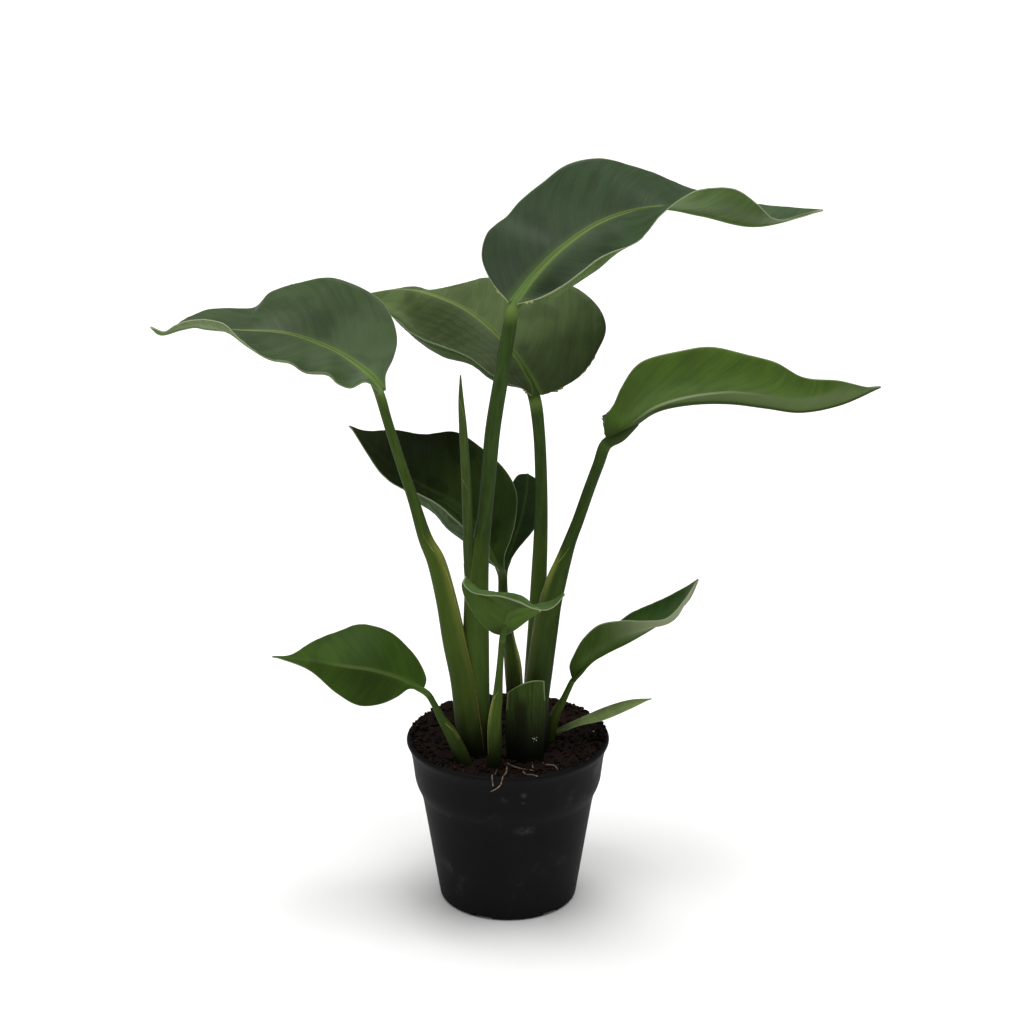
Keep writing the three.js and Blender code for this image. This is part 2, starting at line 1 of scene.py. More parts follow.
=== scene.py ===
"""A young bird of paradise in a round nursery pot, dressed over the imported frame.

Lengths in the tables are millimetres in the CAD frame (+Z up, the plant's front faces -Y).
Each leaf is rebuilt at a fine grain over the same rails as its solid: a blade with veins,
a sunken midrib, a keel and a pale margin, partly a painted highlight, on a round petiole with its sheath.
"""
import math
import random

import bmesh
import bpy
import numpy as np
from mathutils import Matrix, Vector, noise


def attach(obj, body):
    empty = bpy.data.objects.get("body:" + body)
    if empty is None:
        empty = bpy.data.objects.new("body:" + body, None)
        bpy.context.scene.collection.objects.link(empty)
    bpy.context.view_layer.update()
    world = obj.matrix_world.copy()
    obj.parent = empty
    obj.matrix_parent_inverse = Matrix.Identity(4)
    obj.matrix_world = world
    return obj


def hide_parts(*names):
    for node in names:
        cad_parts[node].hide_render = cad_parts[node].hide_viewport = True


MM = 0.001
FRONT = np.array([0.0, -1.0, 0.0])

# ---- Camera and light ----

CAMERA_PLACE = (0.0024, -1.698, 0.878)
CAMERA_TILT = 69.5
CAMERA_LENS = 110.53
SKY_STRENGTH = 0.32
SUN_POWER = 3.7
SUN_SPREAD = 50
SUN_TILT = -4
FLOOR_HALF = 30.0

# ---- Pot and soil ----

POT_HEIGHT = 102.0
RIM_RADIUS = 60.0
COLLAR_RADIUS = 56.0
COLLAR_FOOT = 76.0
BODY_TOP = 62.0
BODY_TOP_RADIUS = 50.5
BASE_RADIUS = 41.0
WALL = 1.2
FLOOR = 1.5
CORNER = 1.6
POT_SIDES = 160
OUT_OF_ROUND = 0.18
SLOT_COUNT = 6
SLOT_WIDTH = 11.0
SLOT_DEPTH = 5.0
SLOT_HEIGHT = 1.9
FIRST_SLOT_ANGLE = math.radians(-111)

# The soil is banked up. Each of these changes its height by so much, between two distances.
SOIL_LEVEL = 99.5
SOIL_BACK_RISE = (3.6, -10.0, 45.0)
SOIL_WALL_RISE = (1.2, 40.0, 55.0)
SOIL_FRONT_DROP = (-2.4, 34.0, 55.0)
SOIL_LUMP = 0.7
SOIL_LUMP_PITCH = 4.1
SOIL_FLOOR = 5.0
SOIL_RINGS = 90
SOIL_SIDES = 260
CLEARANCE = 0.35
PEAT_SHARE = 0.72

# ---- The leaves ----
# stem: stations from the foot in the soil to the blade, as (x, y, z, radius).
# rib: the rail from the blade's base to its tip. left, right: the margins, up to that same tip.
# edge: the free edge of the sheath, as heights, each with how far across the stem it lies.
# rows: the rows of the coarse solid, which set how far the petiole runs under the blade.
# upper, under, petiole: the colours of the blade's two sides and of the stem.
# The rest is explained in PLAIN_LEAF.

LEAVES = {
    "leaf_top": {
        "stem": [(-17, -15, 74, 7), (-18, -15, 98, 8), (-18.5, -15, 131, 7.9), (-18.5, -13, 169, 7.6),
                 (-18, -11, 199, 6.9), (-16.5, -9, 220, 5.8), (-13.5, -7, 241, 4.3), (-11, -4, 267, 4.3),
                 (-8.5, -1, 294, 4.4), (-3, 3, 328, 4.2), (0.5, 6, 350, 3.9), (3, 8, 362, 3.6)],
        "rib": [(3, 8, 366), (14, 18, 378), (31, 30, 392), (56, 43, 405), (87, 52, 410), (111, 56, 405),
                (142, 54, 399), (180, 44, 411)],
        "left": [(0, 8, 367), (-10, 18, 377), (-15, 28, 388), (-12, 37, 399), (-7, 41, 403), (-1, 47, 406),
                 (7, 53, 414), (21, 59, 424), (31, 63, 431), (39, 65, 434), (53, 68, 435), (77, 76, 427),
                 (106, 86, 413), (130, 84, 406), (158, 70, 406)],
        "right": [(5, 6, 366), (18, 2, 371), (31, 0, 379), (52, 4, 394), (74, 8, 403), (88, 14, 418),
                  (107, 22, 428), (129, 32, 426), (142, 37, 416), (152, 38, 407), (167, 42, 407)],
        "edge": [(234, -0.5), (230, -0.8), (225, -0.93), (215, -0.97), (205, -0.97), (194, -0.97)],
        "rows": 24, "cup": {"left": [0, 0, 0], "right": [0, 9, 11, 3, 0, 3, 2, 0, 0]},
        "frills": [(0, 0, 7, 2.6), (-1, 0, 8, 2.8)], "mouth": 233, "upper": "#33442b", "under": "#536a38",
        "petiole": "#33461f", "tones_with_painted_light": (0.96, 1, 0.78, 1.15), "base_reach": 0.5, "gloss": 0.1,
        "margin_light": 0.75, "strip": -1, "strip_foot": 190, "collar": 0.7,
    },
    "leaf_left_high": {
        "stem": [(-20, -20, 76, 6.6), (-20.5, -20, 98, 8.2), (-22.5, -19, 120, 8.5), (-26, -18, 146, 7.6),
                 (-31, -17, 170, 7), (-35.5, -16, 195, 6.1), (-41.5, -14, 219, 5.3), (-47, -13, 231, 4.2),
                 (-54, -12, 255, 3.2), (-61.5, -11, 279, 2.9), (-68.5, -10, 303, 2.8),
                 (-72, -9, 316, 2.9)],
        "rib": [(-71, -8, 319), (-77, -4, 326), (-90, 4, 334), (-106, 12, 340), (-127, 18, 345),
                (-153, 20, 346), (-172, 16, 349), (-178, 13, 351), (-186, 11, 350), (-197, 8, 348),
                (-202, 6, 353)],
        "left": [(-73, -10, 319), (-80, -14, 327), (-88, -20, 325), (-95, -24, 329), (-100, -28, 336),
                 (-113, -30, 338), (-121, -29, 343), (-133, -26, 344), (-147, -22, 352), (-158, -14, 360),
                 (-166, -8, 361), (-179, -2, 359), (-188, 2, 355), (-195, 6, 350)],
        "right": [(-69, -8, 321), (-69, -2, 327), (-65, 6, 334), (-63, 14, 342), (-66, 22, 353),
                  (-75, 31, 363), (-99, 38, 372), (-117, 46, 368), (-138, 52, 359), (-147, 54, 350),
                  (-161, 52, 350), (-175, 44, 351), (-186, 32, 349), (-195, 16, 347)],
        "edge": [(236, -0.1), (225, 0.4), (214, 0.72), (197, 0.85), (182, 0.88), (172, 0.88), (154, 0.86),
                 (135, 0.8), (122, 0.76), (110, 0.78), (102, 0.8)],
        "rows": 32, "cup": {"left": [0, 4, 5, 4, 3, 1, 0], "right": [0, 0, 0]}, "mouth": 236,
        "upper": "#37472b", "under": "#5c6d43", "petiole": "#384a1d",
        "edge_colours": ("#8f9348", "#5c3d26"), "tones_with_painted_light": (1, 1.04, 1.12, 1), "gloss": 0.11,
        "rib_spread": 1.2, "margin_light": 0.8, "margin_from": 0.6, "sheath": 0.38, "strip": 1,
        "strip_start": 0.12, "strip_foot": 148, "deep": 0.35,
    },
    "leaf_back_centre": {
        "stem": [(14, -8, 76, 5.2), (14, -8, 98, 6), (14.5, -6, 121, 5.9), (15.5, -2, 146, 5.6),
                 (17, 4, 170, 5.3), (18, 10, 195, 4.7), (19, 14.5, 219, 4.2), (19.5, 19, 243, 3.7),
                 (19, 23, 267, 3.5), (18, 26, 284, 3.5), (16, 29, 300, 3.7)],
        "rib": [(17, 30, 304), (13, 38, 311), (4, 50, 322), (-5, 62, 329), (-22, 82, 338), (-40, 102, 341),
                (-62, 124, 340), (-94, 150, 328)],
        "left": [(14, 28, 304), (8, 22, 311), (0, 18, 315), (-8, 16, 320), (-22, 24, 329), (-39, 40, 331),
                 (-54, 60, 331), (-68, 90, 333), (-83, 125, 333)],
        "right": [(20, 31, 304), (30, 33, 307), (42, 36, 314), (52, 42, 327), (57, 48, 338), (54, 58, 347),
                  (42, 72, 355), (22, 88, 358), (4, 102, 356), (-11, 112, 351), (-20, 116, 348),
                  (-29, 121, 340), (-38, 127, 336), (-57, 140, 337), (-78, 148, 331)],
        "rows": 24, "cup": {"left": [0, 8, 14, 12, 4, 0], "right": [0, 0, 0]}, "folds": 0.13,
        "frills": [(0, 0, 8, 2.6), (-1, 0, 8, 2.6), (-1, 11, 23, 1.1)], "mouth": 226, "upper": "#3d4a2b",
        "under": "#364a20", "petiole": "#364820", "tones_with_painted_light": (0.95, 1.2, 0.92, 1.25), "gloss": 0.06,
        "lines": 0.38, "rib_light": 0.7, "rib_spread": 1.3, "deep": 0.35, "collar": 0.75,
    },
    "leaf_right_high": {
        "stem": [(16, -14, 74, 6.4), (16, -14, 98, 7.8), (16, -13, 127, 7.8), (19, -11, 152, 7.6),
                 (22, -9, 174, 7.3), (25, -7, 190, 6.4), (28, -5, 202, 6), (32, -3.5, 214, 4.7),
                 (36, -2, 226, 3.7), (40.5, -0.5, 238, 3.4), (46.5, 1, 256, 3.3), (52, 1, 272, 3.3),
                 (56.5, 2, 284, 3.5)],
        "rib": [(57, 2, 287), (69, 0, 295), (84, -2, 306), (104, -4, 311), (126, -6, 312), (146, -8, 310),
                (166, -10, 308), (188, -12, 313), (210, -14, 324)],
        "left": [(59, 3, 288), (66, 16, 295), (80, 32, 303), (106, 38, 313), (135, 38, 316),
                 (163, 30, 313), (190, 10, 315)],
        "right": [(55, 0, 291), (55, -6, 302), (60, -12, 313), (64, -18, 325), (74, -26, 342),
                  (96, -30, 350), (113, -32, 353), (132, -33, 349), (149, -32, 344), (165, -28, 334),
                  (186, -22, 330), (204, -16, 324)],
        "edge": [(224, 0.1), (219, -0.3), (215, -0.6), (209, -0.95), (202, -0.98)],
        "rows": 24, "cup": {"left": [0, 4, 4, 4, 0], "right": [0, 6, 7, 6, 3, 0]},
        "frills": [(-1, 3, 13, 3.2)], "mouth": 222, "upper": "#34472c", "under": "#435a21",
        "petiole": "#30411b", "keel_colour": "#33421f", "frill_colours": ("#4a5b2c", "#3a4a20"),
        "gloss": 0.06, "streak": 17, "sheath": 0.1, "strip": -1, "strip_foot": 190, "deep": 0.6,
    },
    "leaf_back_dark": {
        "stem": [(4, 38, 78, 4.4), (4, 38, 98, 5.4), (4, 38, 115, 5.2), (3, 39, 132, 4.8),
                 (1, 40, 146, 3.4), (-1, 42, 160, 2.8), (-3, 44, 174, 2.8), (-3.5, 46, 186, 2.7)],
        "rib": [(-4, 46, 189), (-12, 54, 204), (-30, 64, 224), (-47, 70, 231), (-65, 76, 240),
                (-80, 80, 252), (-95, 84, 267)],
        "left": [(-5, 44, 189), (-11, 38, 199), (-19, 34, 213), (-28, 34, 223), (-40, 40, 232),
                 (-53, 48, 237), (-65, 56, 238), (-76, 64, 244), (-84, 74, 252), (-90, 80, 260)],
        "right": [(-2, 46, 190), (-2, 46, 198), (2, 50, 208), (5, 56, 220), (5, 62, 233), (-1, 70, 243),
                  (-15, 82, 253), (-32, 90, 261), (-50, 94, 258), (-68, 96, 260), (-86, 92, 261)],
        "edge": [(152, 0.5), (150, 0.75), (141, 0.8), (132, 0.75), (122, 0.72), (110, 0.7)],
        "rows": 20, "cup": {"left": [0, 7, 10, 7, 0, -1, 0], "right": [0, 0, 0]}, "mouth": 150,
        # Its upper colour is darker than the other leaves' to paint the shade it lies in; its base tone
        # lifts it again.
        "upper": "#19210f", "under": "#4d5c40", "petiole": "#333f1a", "tones_with_painted_light": (1, 1, 2.6, 1),
        "base_reach": 0.8, "gloss": 0.02, "lines": 0.5, "rib_light": 0.3, "rib_end": 0.6,
        "margin_light": 0.5, "strip": 1,
    },
    "leaf_back_small": {
        "stem": [(2.5, 47, 80, 2.2), (2, 47, 101, 2.6), (0, 47.5, 130, 2.4), (-1, 49, 156, 2.1),
                 (-2, 51.5, 186, 1.9)],
        "rib": [(-2, 52, 188), (3, 60, 200), (8, 70, 212), (11, 80, 224), (12, 88, 235)],
        "left": [(-3.5, 52, 189), (-3, 62, 199), (-2, 74, 213), (1, 84, 226), (6, 88, 234)],
        "right": [(-0.5, 52, 189), (5.5, 56, 198), (15, 62, 208), (22, 70, 218), (22, 78, 227),
                  (17, 84, 233)],
        "rows": 10, "upper": "#2b3a20", "under": "#354b1f", "petiole": "#333f1a", "gloss": 0.03,
        "rib_light": 0.2,
    },
    "leaf_front_cupped": {
        "stem": [(-8, -38, 78, 3.4), (-8, -38, 97, 4.1), (-7.5, -39, 117, 4.2), (-7.5, -40, 131, 3.8),
                 (-6, -41, 144, 3), (-5, -43, 158, 2.2), (-4, -46, 173, 1.8), (-3, -49.5, 185, 1.9)],
        "rib": [(-3, -50, 188), (-1, -56, 198), (1, -64, 207), (6, -76, 215), (13, -87, 220),
                (18, -98, 222)],
        "left": [(-1, -49, 187), (4, -47, 189), (12, -46, 195), (23, -48, 205), (31, -51, 213),
                 (32, -57, 215), (29, -68, 215), (23, -84, 217)],
        "right": [(-4, -50, 187), (-9, -48, 188), (-17, -48, 196), (-24, -50, 209), (-26, -51, 219),
                  (-24, -50, 223), (-25, -58, 222), (-21, -65, 220), (-13, -71, 220), (-4, -78, 222),
                  (6, -87, 222), (13, -95, 222)],
        "edge": [(150, 0), (146, -0.55), (142, -0.85), (130, -0.9), (117, -0.93), (108, -0.8)],
        "rows": 18, "cup": {"left": [0, 2, 2, 0], "right": [0, 2, 1, -4, -4, -1]}, "mouth": 149,
        "upper": "#3a4f26", "under": "#394c1e", "petiole": "#394b1c", "under_left": 1.12, "gloss": 0.04,
        "rib_light": 0.5, "margin_light": 0.6, "strip": -1, "mud": 0.88,
    },
    "leaf_low_left": {
        "stem": [(-23, -33, 80, 3), (-24.3, -33, 97, 3.9), (-28, -33, 107, 4.3), (-33, -33, 118, 3.7),
                 (-38.8, -34, 129, 2.5), (-42.3, -35, 137, 1.9), (-46.5, -36.5, 145, 1.9)],
        "rib": [(-50, -38, 149), (-62, -42, 157), (-78, -46, 164), (-93, -50, 168), (-110, -52, 172),
                (-134, -52, 175)],
        "left": [(-52, -40, 149), (-57, -44, 151), (-63, -50, 149), (-73, -54, 146), (-85, -58, 147),
                 (-98, -58, 155), (-113, -56, 168)],
        "right": [(-48, -36, 149), (-47, -34, 153), (-51, -30, 162), (-58, -26, 170), (-69, -24, 179),
                  (-85, -24, 183), (-98, -30, 181), (-112, -38, 178), (-124, -48, 174)],
        "edge": [(129, -0.2), (124, 0.6), (118, 0.9), (108, 0.95), (101, 0.95)],
        "rows": 16, "mouth": 127, "upper": "#2f4513", "under": "#3f5a24", "petiole": "#35471c",
        "tones_with_painted_light": (0.84, 1, 1, 1.08), "gloss": 0.06, "rib_light": 0.34, "rib_end": 0.62, "strip": 1,
        "mud": 0.7,
    },
    "leaf_low_right": {
        "stem": [(23.5, -2, 76, 2.4), (23.5, -2, 94, 3), (24.5, -2, 101, 3.2), (26.5, -2, 111, 3.3),
                 (29, -2, 119, 2.9), (32.5, -2, 125.5, 2.1), (35.5, -1, 132, 1.8), (38, 0, 137, 1.7)],
        "rib": [(38, 0, 139), (47, -1, 149), (57, -2, 156), (71, -3, 164), (86, -4, 174), (97, -4, 182),
                (105, -4, 191), (110, -4, 203)],
        "left": [(41, 1, 141), (49, 12, 149), (58, 22, 157), (72, 26, 169), (87, 22, 178), (101, 12, 190)],
        "right": [(37, -1, 141), (36, -5, 149), (39, -9, 159), (44, -13, 170), (53, -17, 180),
                  (66, -18, 183), (79, -16, 182), (92, -12, 182), (101, -8, 190)],
        "edge": [(128, -0.2), (122, -0.8), (114, -0.95), (104, -0.95)],
        "rows": 16, "cup": {"left": [0, 2, 2, 0], "right": [0, 4, 4, 0]}, "mouth": 127, "upper": "#35501f",
        "under": "#364b1b", "petiole": "#425321", "gloss": 0.04, "haze": 0.75, "rib_light": 0.4,
        "margin_light": 0.5, "strip": -1, "mud": 0.55,
    },
    "leaf_narrow_right": {
        "stem": [(28.5, 5, 84, 1.2), (28.6, 3.5, 96, 1.5), (29, 2, 102, 1.4)],
        "rib": [(29.3, 1.5, 103.5), (42, -3.5, 112), (57, -7, 120.5), (72, -10, 127), (84, -12, 131)],
        "left": [(28.3, 2.5, 104.5), (42, -0.5, 113), (56, -2, 120.5), (72, -7, 128)],
        "right": [(29.3, 0.5, 102.5), (42, -6.5, 111), (57, -12, 117.5), (72, -13, 125)],
        "rows": 8, "upper": "#7c8f57", "under": "#7e9657", "petiole": "#4f6230", "tones_with_painted_light": (1, 1, 0.5, 1),
        "base_reach": 0.38, "gloss": 0.05, "rib_light": 0.3, "mud": 0.4,
    },
}

# What a leaf has unless its entry above says otherwise. A place along it is a share from 0 to 1.
PLAIN_LEAF = {
    "edge": [],
    "cup": {"left": [0, 0], "right": [0, 0]},  # how far each half sags between rib and margin
    "folds": 0.0,  # the height of the long folds in the left half
    "frills": [],  # torn skin at the blade's foot, as (margin's column, from row, to row, reach)
    "tones_with_painted_light": (1.0, 1.0, 1.0, 1.0),  # how light the upper side is at its left, right, base and tip, partly its own tone and partly painted light and shade
    "base_reach": 0.3,  # how far up the blade its base's tone goes
    "under_left": 1.0,  # how light the left half of the under side is
    "gloss": 0.12,  # the blade's specular level
    "lines": 0.0,  # the strength of the dark lines in the left half, shade painted as in the creases of long folds
    "haze": 0.0,  # the strength of the painted sheen on the under side towards the tip
    "streak": 0.0,  # how far the pale streak on the under side strays from the rib
    "rib_light": 1.0,  # the strength of the light midrib
    "rib_end": 2.0,  # where it fades out, if it does
    "rib_spread": 1.0,  # how much wider it starts
    "margin_light": 0.35,  # the strength of the pale margin, partly its own colour and partly a painted highlight on the edge
    "margin_from": 0.0,  # where it comes to that strength
    "keel_colour": None,  # the colour of the keel, if it isn't that of the under side
    "mouth": 0.0,  # the height of the sheath's mouth
    "sheath": 0.3,  # how yellow the sheath is
    "strip": 0,  # the side of its yellower strip: -1 is left, 1 is right and 0 is none
    "strip_start": 0.4,  # how far across the stem the strip starts
    "strip_foot": 115.0,  # the height where the strip fades out
    "deep": 0.0,  # how much painted shade darkens the stem towards its foot
    "joint": 2.0,  # where on the stem the blade starts, if one does
    "collar": 0.2,  # the strength of the light collar there
    "mud": 0.94,  # the strength of the mud on its foot
    "edge_colours": ("#7d8a4a", "#5b6a30"),
    "frill_colours": ("#a3a478", "#7f8a55"),
}

SPEAR_COLOURS = {"petiole": "#3e4e25", "under": "#3e4e25"}

SPEAR_STATIONS = [
    (-18.5, -14.5, 73, 2.6), (-19, -14.5, 131, 2.8), (-20.5, -13, 185, 2.9), (-22.5, -12, 218, 2.9),
    (-23.5, -11, 255, 3.0), (-24.5, -10, 276, 2.7), (-25.5, -10, 297, 2.4), (-26.5, -9, 314, 1.6),
    (-26.7, -9, 329, 0.4),
]

# The seams where the rolled leaf laps over itself: heights, each with how far across it lies.
SPEAR_SEAMS = [[(316, -0.75), (312, 0), (305, 0.6), (297, 0.75)], [(268, -0.7), (264, 0), (259, 0.7)]]

BLUNT_LEAF = {
    "rib": [(11, -33, 84), (11, -33, 114), (11, -30.5, 134), (10.5, -28.5, 148.5)],
    "left": [(1, -28, 84), (-1, -28, 110), (-1, -26, 126), (0, -24, 140)],
    "right": [(20, -28, 84), (21, -28, 112), (21.5, -26, 132), (21, -24, 147.5)],
}

# The margin of the flap of the right shoot's sheath that laps over the stem inside it, and how far
# across the stem the flap starts.
SHEATH_FLAP = [
    (22.1, -5, 202), (19.2, -6, 193), (17.5, -7, 186), (15.7, -8, 180), (14, -9, 169),
    (12.8, -10, 160), (11.8, -11, 152), (10.5, -13, 138),
]
FLAP_ROOT = -0.3

# Surface roots on the front of the soil, three of them over the pot's rim.
ROOTS = [
    [(-1.5, -35, 99.5), (-5, -36.5, 99.5), (-6.5, -43.5, 99.5), (-7.5, -48.5, 99)],
    [
        (-0.5, -37, 99.5), (-1, -46.5, 99.5), (-2.5, -55.5, 101.5), (-3, -59, 102.2),
        (-4, -60.5, 99), (-6, -58.5, 95.5), (-10, -57.5, 92.5),
    ],
    [(-0.5, -35, 100), (3, -38, 99.5), (7.5, -41, 99.5), (13, -43, 99.5), (16.5, -45, 99.5)],
    [(7.5, -41, 99.5), (10.5, -48, 99), (13.5, -52.5, 101), (17, -57, 102.2)],
    [(14, -29, 100), (14.5, -41.5, 99.5)],
    [(22, -37, 100), (27, -38, 100), (29, -42.5, 99.5)],
    [(-9, -55.5, 102), (-9, -59.5, 102.2), (-8.5, -60.5, 97.5)],
]

# Perlite stuck to the foot of the short sheath leaf: the place and the size of each grain.
STUCK_PERLITE = [
    ((14.5, -32.8, 115), 0.9), ((15.5, -32.5, 114.5), 1.3), ((16.5, -32.2, 113.5), 0.9),
    ((15, -32.6, 113), 0.7), ((17, -31.8, 115), 0.6),
]

# Scuffs on the pot: the place, the radius and the strength of each.
SCUFFS = [
    ((9, -56, 89), 3.0, 0.38), ((9, -55, 84), 1.6, 0.25), ((13, -48.5, 63), 5.0, 0.2),
    ((8.5, -49.5, 63.5), 5.0, 0.22), ((4.5, -50, 64), 4.0, 0.15), ((52.5, -21.5, 90.5), 8.0, 0.4),
    ((42, -30.5, 75), 8.0, 0.15), ((-37.5, -25, 29), 11.0, 0.12), ((-30, -47, 97), 4.0, 0.2),
]

# ---- Curves ----

SPAN_SAMPLES = 24


def unit(vectors):
    """Vectors of length one."""
    return vectors / np.maximum(np.linalg.norm(vectors, axis=-1, keepdims=True), 1e-9)


def read_at(wanted, places, values):
    """Rows of values that stand at places, read between them at the wanted ones."""
    return np.stack([np.interp(wanted, places, column) for column in values.T], axis=1)


def curve(points, count):
    """Evenly spaced samples of a centripetal Catmull-Rom curve through points."""
    points = np.asarray(points, float)
    ends = np.vstack([2 * points[0] - points[1], points, 2 * points[-1] - points[-2]])
    steps = np.linspace(0, 1, SPAN_SAMPLES, endpoint=False)[:, None]
    samples = []
    for a, b, c, d in zip(ends, ends[1:], ends[2:], ends[3:]):
        before, here, after = (math.sqrt(np.linalg.norm(way)) for way in (b - a, c - b, d - c))
        start = ((b - a) / before - (c - a) / (before + here) + (c - b) / here) * here
        end = ((c - b) / here - (d - b) / (here + after) + (d - c) / after) * here
        square = -3 * b + 3 * c - 2 * start - end
        cube = 2 * b - 2 * c + start + end
        samples.append(b + start * steps + square * steps**2 + cube * steps**3)
    samples = np.vstack(samples + [points[-1:]])
    lengths = np.linalg.norm(np.diff(samples[:, :3], axis=0), axis=1)
    reached = np.concatenate([[0], np.cumsum(lengths)])
    return read_at(np.linspace(0, reached[-1], count), reached, samples)


def length_of(points):
    """The length of a run of points."""
    return float(np.linalg.norm(np.diff(np.asarray(points, float)[:, :3], axis=0), axis=1).sum())


def eased(values, u):
    """Values read from a list of evenly spaced ones, eased from each to the next."""
    values = np.asarray(values, float)
    place = u * (len(values) - 1)
    k = np.minimum(place.astype(int), len(values) - 2)
    t = place - k
    return values[k] + (values[k + 1] - values[k]) * t * t * (3 - 2 * t)


# ---- Meshes ----


def put(name, data):
    """A new object in the scene."""
    made = bpy.data.objects.new(name, data)
    bpy.context.scene.collection.objects.link(made)
    return made


def triples(x, y, z):
    """Rows of three values, one row for each point of a grid."""
    return np.stack(np.broadcast_arrays(x, y, z), axis=-1).reshape(-1, 3)


def grid_faces(rows, columns, start=0, closed=False, flip=False):
    """Quads over a grid of points, closed round its columns if asked."""
    faces = []
    for i in range(rows - 1):
        for j in range(columns if closed else columns - 1):
            k = (j + 1) % columns
            a, b = start + i * columns, start + (i + 1) * columns
            quad = (a + j, a + k, b + k, b + j)
            faces.append(quad[::-1] if flip else quad)
    return faces


def tube_faces(rows, columns):
    """The faces of a closed tube: a grid closed round its columns, with a cap at each end."""
    caps = [tuple(range(columns))[::-1], tuple(range((rows - 1) * columns, rows * columns))]
    return grid_faces(rows, columns, closed=True) + caps


def sheet_faces(rows, columns):
    """The faces of a closed sheet: a grid of upper points, then the same grid below it."""
    size = rows * columns
    faces = grid_faces(rows, columns) + grid_faces(rows, columns, start=size, flip=True)
    rim = [i * columns for i in range(rows)]
    rim += [(rows - 1) * columns + j for j in range(1, columns)]
    rim += [i * columns + columns - 1 for i in range(rows - 2, -1, -1)]
    rim += [j for j in range(columns - 2, 0, -1)]
    return faces + [(a, b, b + size, a + size) for a, b in zip(rim, rim[1:] + rim[:1])]


class Shell:
    """Points and faces of one piece, with the maps that its materials read."""

    def __init__(self):
        self.points = []
        self.faces = []
        self.looks = []
        self.maps = {"grain": [], "place": []}
        self.size = 0

    def add(self, points, faces, look, grain, place):
        """Adds a part: its points in mm, its faces, its material's number and its two maps."""
        self.points.append(points)
        self.faces += [tuple(int(n) + self.size for n in face) for face in faces]
        self.looks += [look] * len(faces)
        self.maps["grain"].append(grain)
        self.maps["place"].append(place)
        self.size += len(points)

    def add_sheet(self, upper, under, look, grain, upper_place, under_place):
        """Adds a closed sheet between two grids of points."""
        points = np.vstack([upper.reshape(-1, 3), under.reshape(-1, 3)])
        places = np.vstack([upper_place, under_place])
        self.add(points, sheet_faces(*upper.shape[:2]), look, np.vstack([grain, grain]), places)

    def build(self, name, materials):
        """The finished object, in metres."""
        mesh = bpy.data.meshes.new(name)
        mesh.from_pydata((np.vstack(self.points) * MM).tolist(), [], self.faces)
        mesh.polygons.foreach_set("material_index", self.looks)
        mesh.polygons.foreach_set("use_smooth", [True] * len(self.faces))
        for title, values in self.maps.items():
            layer = mesh.attributes.new(title, "FLOAT_VECTOR", "POINT")
            layer.data.foreach_set("vector", np.vstack(values).astype(np.float32).ravel())
        for material in materials:
            mesh.materials.append(material)
        mesh.update()
        return put(name, mesh)


# ---- Blades ----

BLADE_ROWS = 132
RIB_COLUMNS = (0.0, 0.3, 0.6, 0.85, 1.0, 1.3, 1.8)
RIB_COLUMNS_SHARE = 0.6
FIELD_COLUMNS = 18
BLADE_MIDDLE = 0.95
BLADE_EDGE = 0.45
TIP_HALF_WIDTH = 0.3

# A cup's deepest place is 2/3 of the way out, where w * w * (1 - w) is 4/27. In a half that is
# narrower than the second of these, the cup is shallower.
CUP_PEAK = 27 / 4
CUP_FADE = 8.0

# The midrib's half width and the keel's height: a share of the petiole's radius at the base of
# the blade, and mm at its tip.
RIB_WIDTH = (0.62, 0.45)
KEEL_HEIGHT = (0.8, 0.5)
GROOVE_DEPTH = 0.3
KEEL_REACH = 1.5

# How the side veins leave the rib: their slant, and how much more they bend back further out.
VEIN_SLANT = 0.55
VEIN_BEND = 0.006

# The waves of the field and of the margin: the height and the pitch of each, and its phase.
FIELD_WAVES = ((0.06, 0.95, 1.0), (0.03, 0.53, 2.1))
MARGIN_WAVES = ((0.18, 4.6, 1.7), (0.08, 1.7, 1.0))
FOLD_PITCH = 0.75


def blade_middle(leaf, rib_width):
    """The middle surface of a blade, its normals, and its maps."""
    u = np.linspace(0, 1, BLADE_ROWS + 1)
    rib = curve(leaf["rib"], BLADE_ROWS + 1)
    forward = unit(np.gradient(rib, axis=0))
    along = u * length_of(leaf["rib"])
    halves = []
    for side, sign in (("left", -1), ("right", 1)):
        reach = curve(leaf[side] + leaf["rib"][-1:], BLADE_ROWS + 1) - rib
        for i in np.nonzero(np.linalg.norm(reach, axis=1) < TIP_HALF_WIDTH)[0]:
            reach[i] = unit(reach[i - 1 if i else 1]) * TIP_HALF_WIDTH
        size = np.linalg.norm(reach, axis=1)
        down = unit(np.cross(forward, reach)) * sign
        near = np.minimum(np.outer(rib_width, RIB_COLUMNS), RIB_COLUMNS_SHARE * size[:, None])
        share = near[:, -1:] / size[:, None]
        far = np.linspace(0, 1, FIELD_COLUMNS + 1)[1:]
        w = np.hstack([near / size[:, None], share + (1 - share) * far])
        depth = eased(leaf["cup"][side], u) * np.minimum(1, size / CUP_FADE)
        sag = CUP_PEAK * w**2 * (1 - w) * depth[:, None]
        points = rib[:, None] + reach[:, None] * w[..., None] + down[:, None] * sag[..., None]
        offset = points - rib[:, None]
        ahead = (offset * forward[:, None]).sum(-1)
        away = np.linalg.norm(offset - forward[:, None] * ahead[..., None], axis=-1)
        vein = along[:, None] + ahead - VEIN_SLANT * away - VEIN_BEND * away**2
        halves.append((points, vein, sign * w * size[:, None], (1 - w) * size[:, None]))
    joined = [np.concatenate([left[:, :0:-1], right], axis=1) for left, right in zip(*halves)]
    points, vein, away, edge = joined
    normals = unit(np.cross(np.gradient(points, axis=1), np.gradient(points, axis=0)))
    return points, normals, vein, away, edge


def waves(table, vein, seed):
    """A sum of waves along the veins."""
    return sum(height * np.sin(vein / pitch + phase * seed) for height, pitch, phase in table)


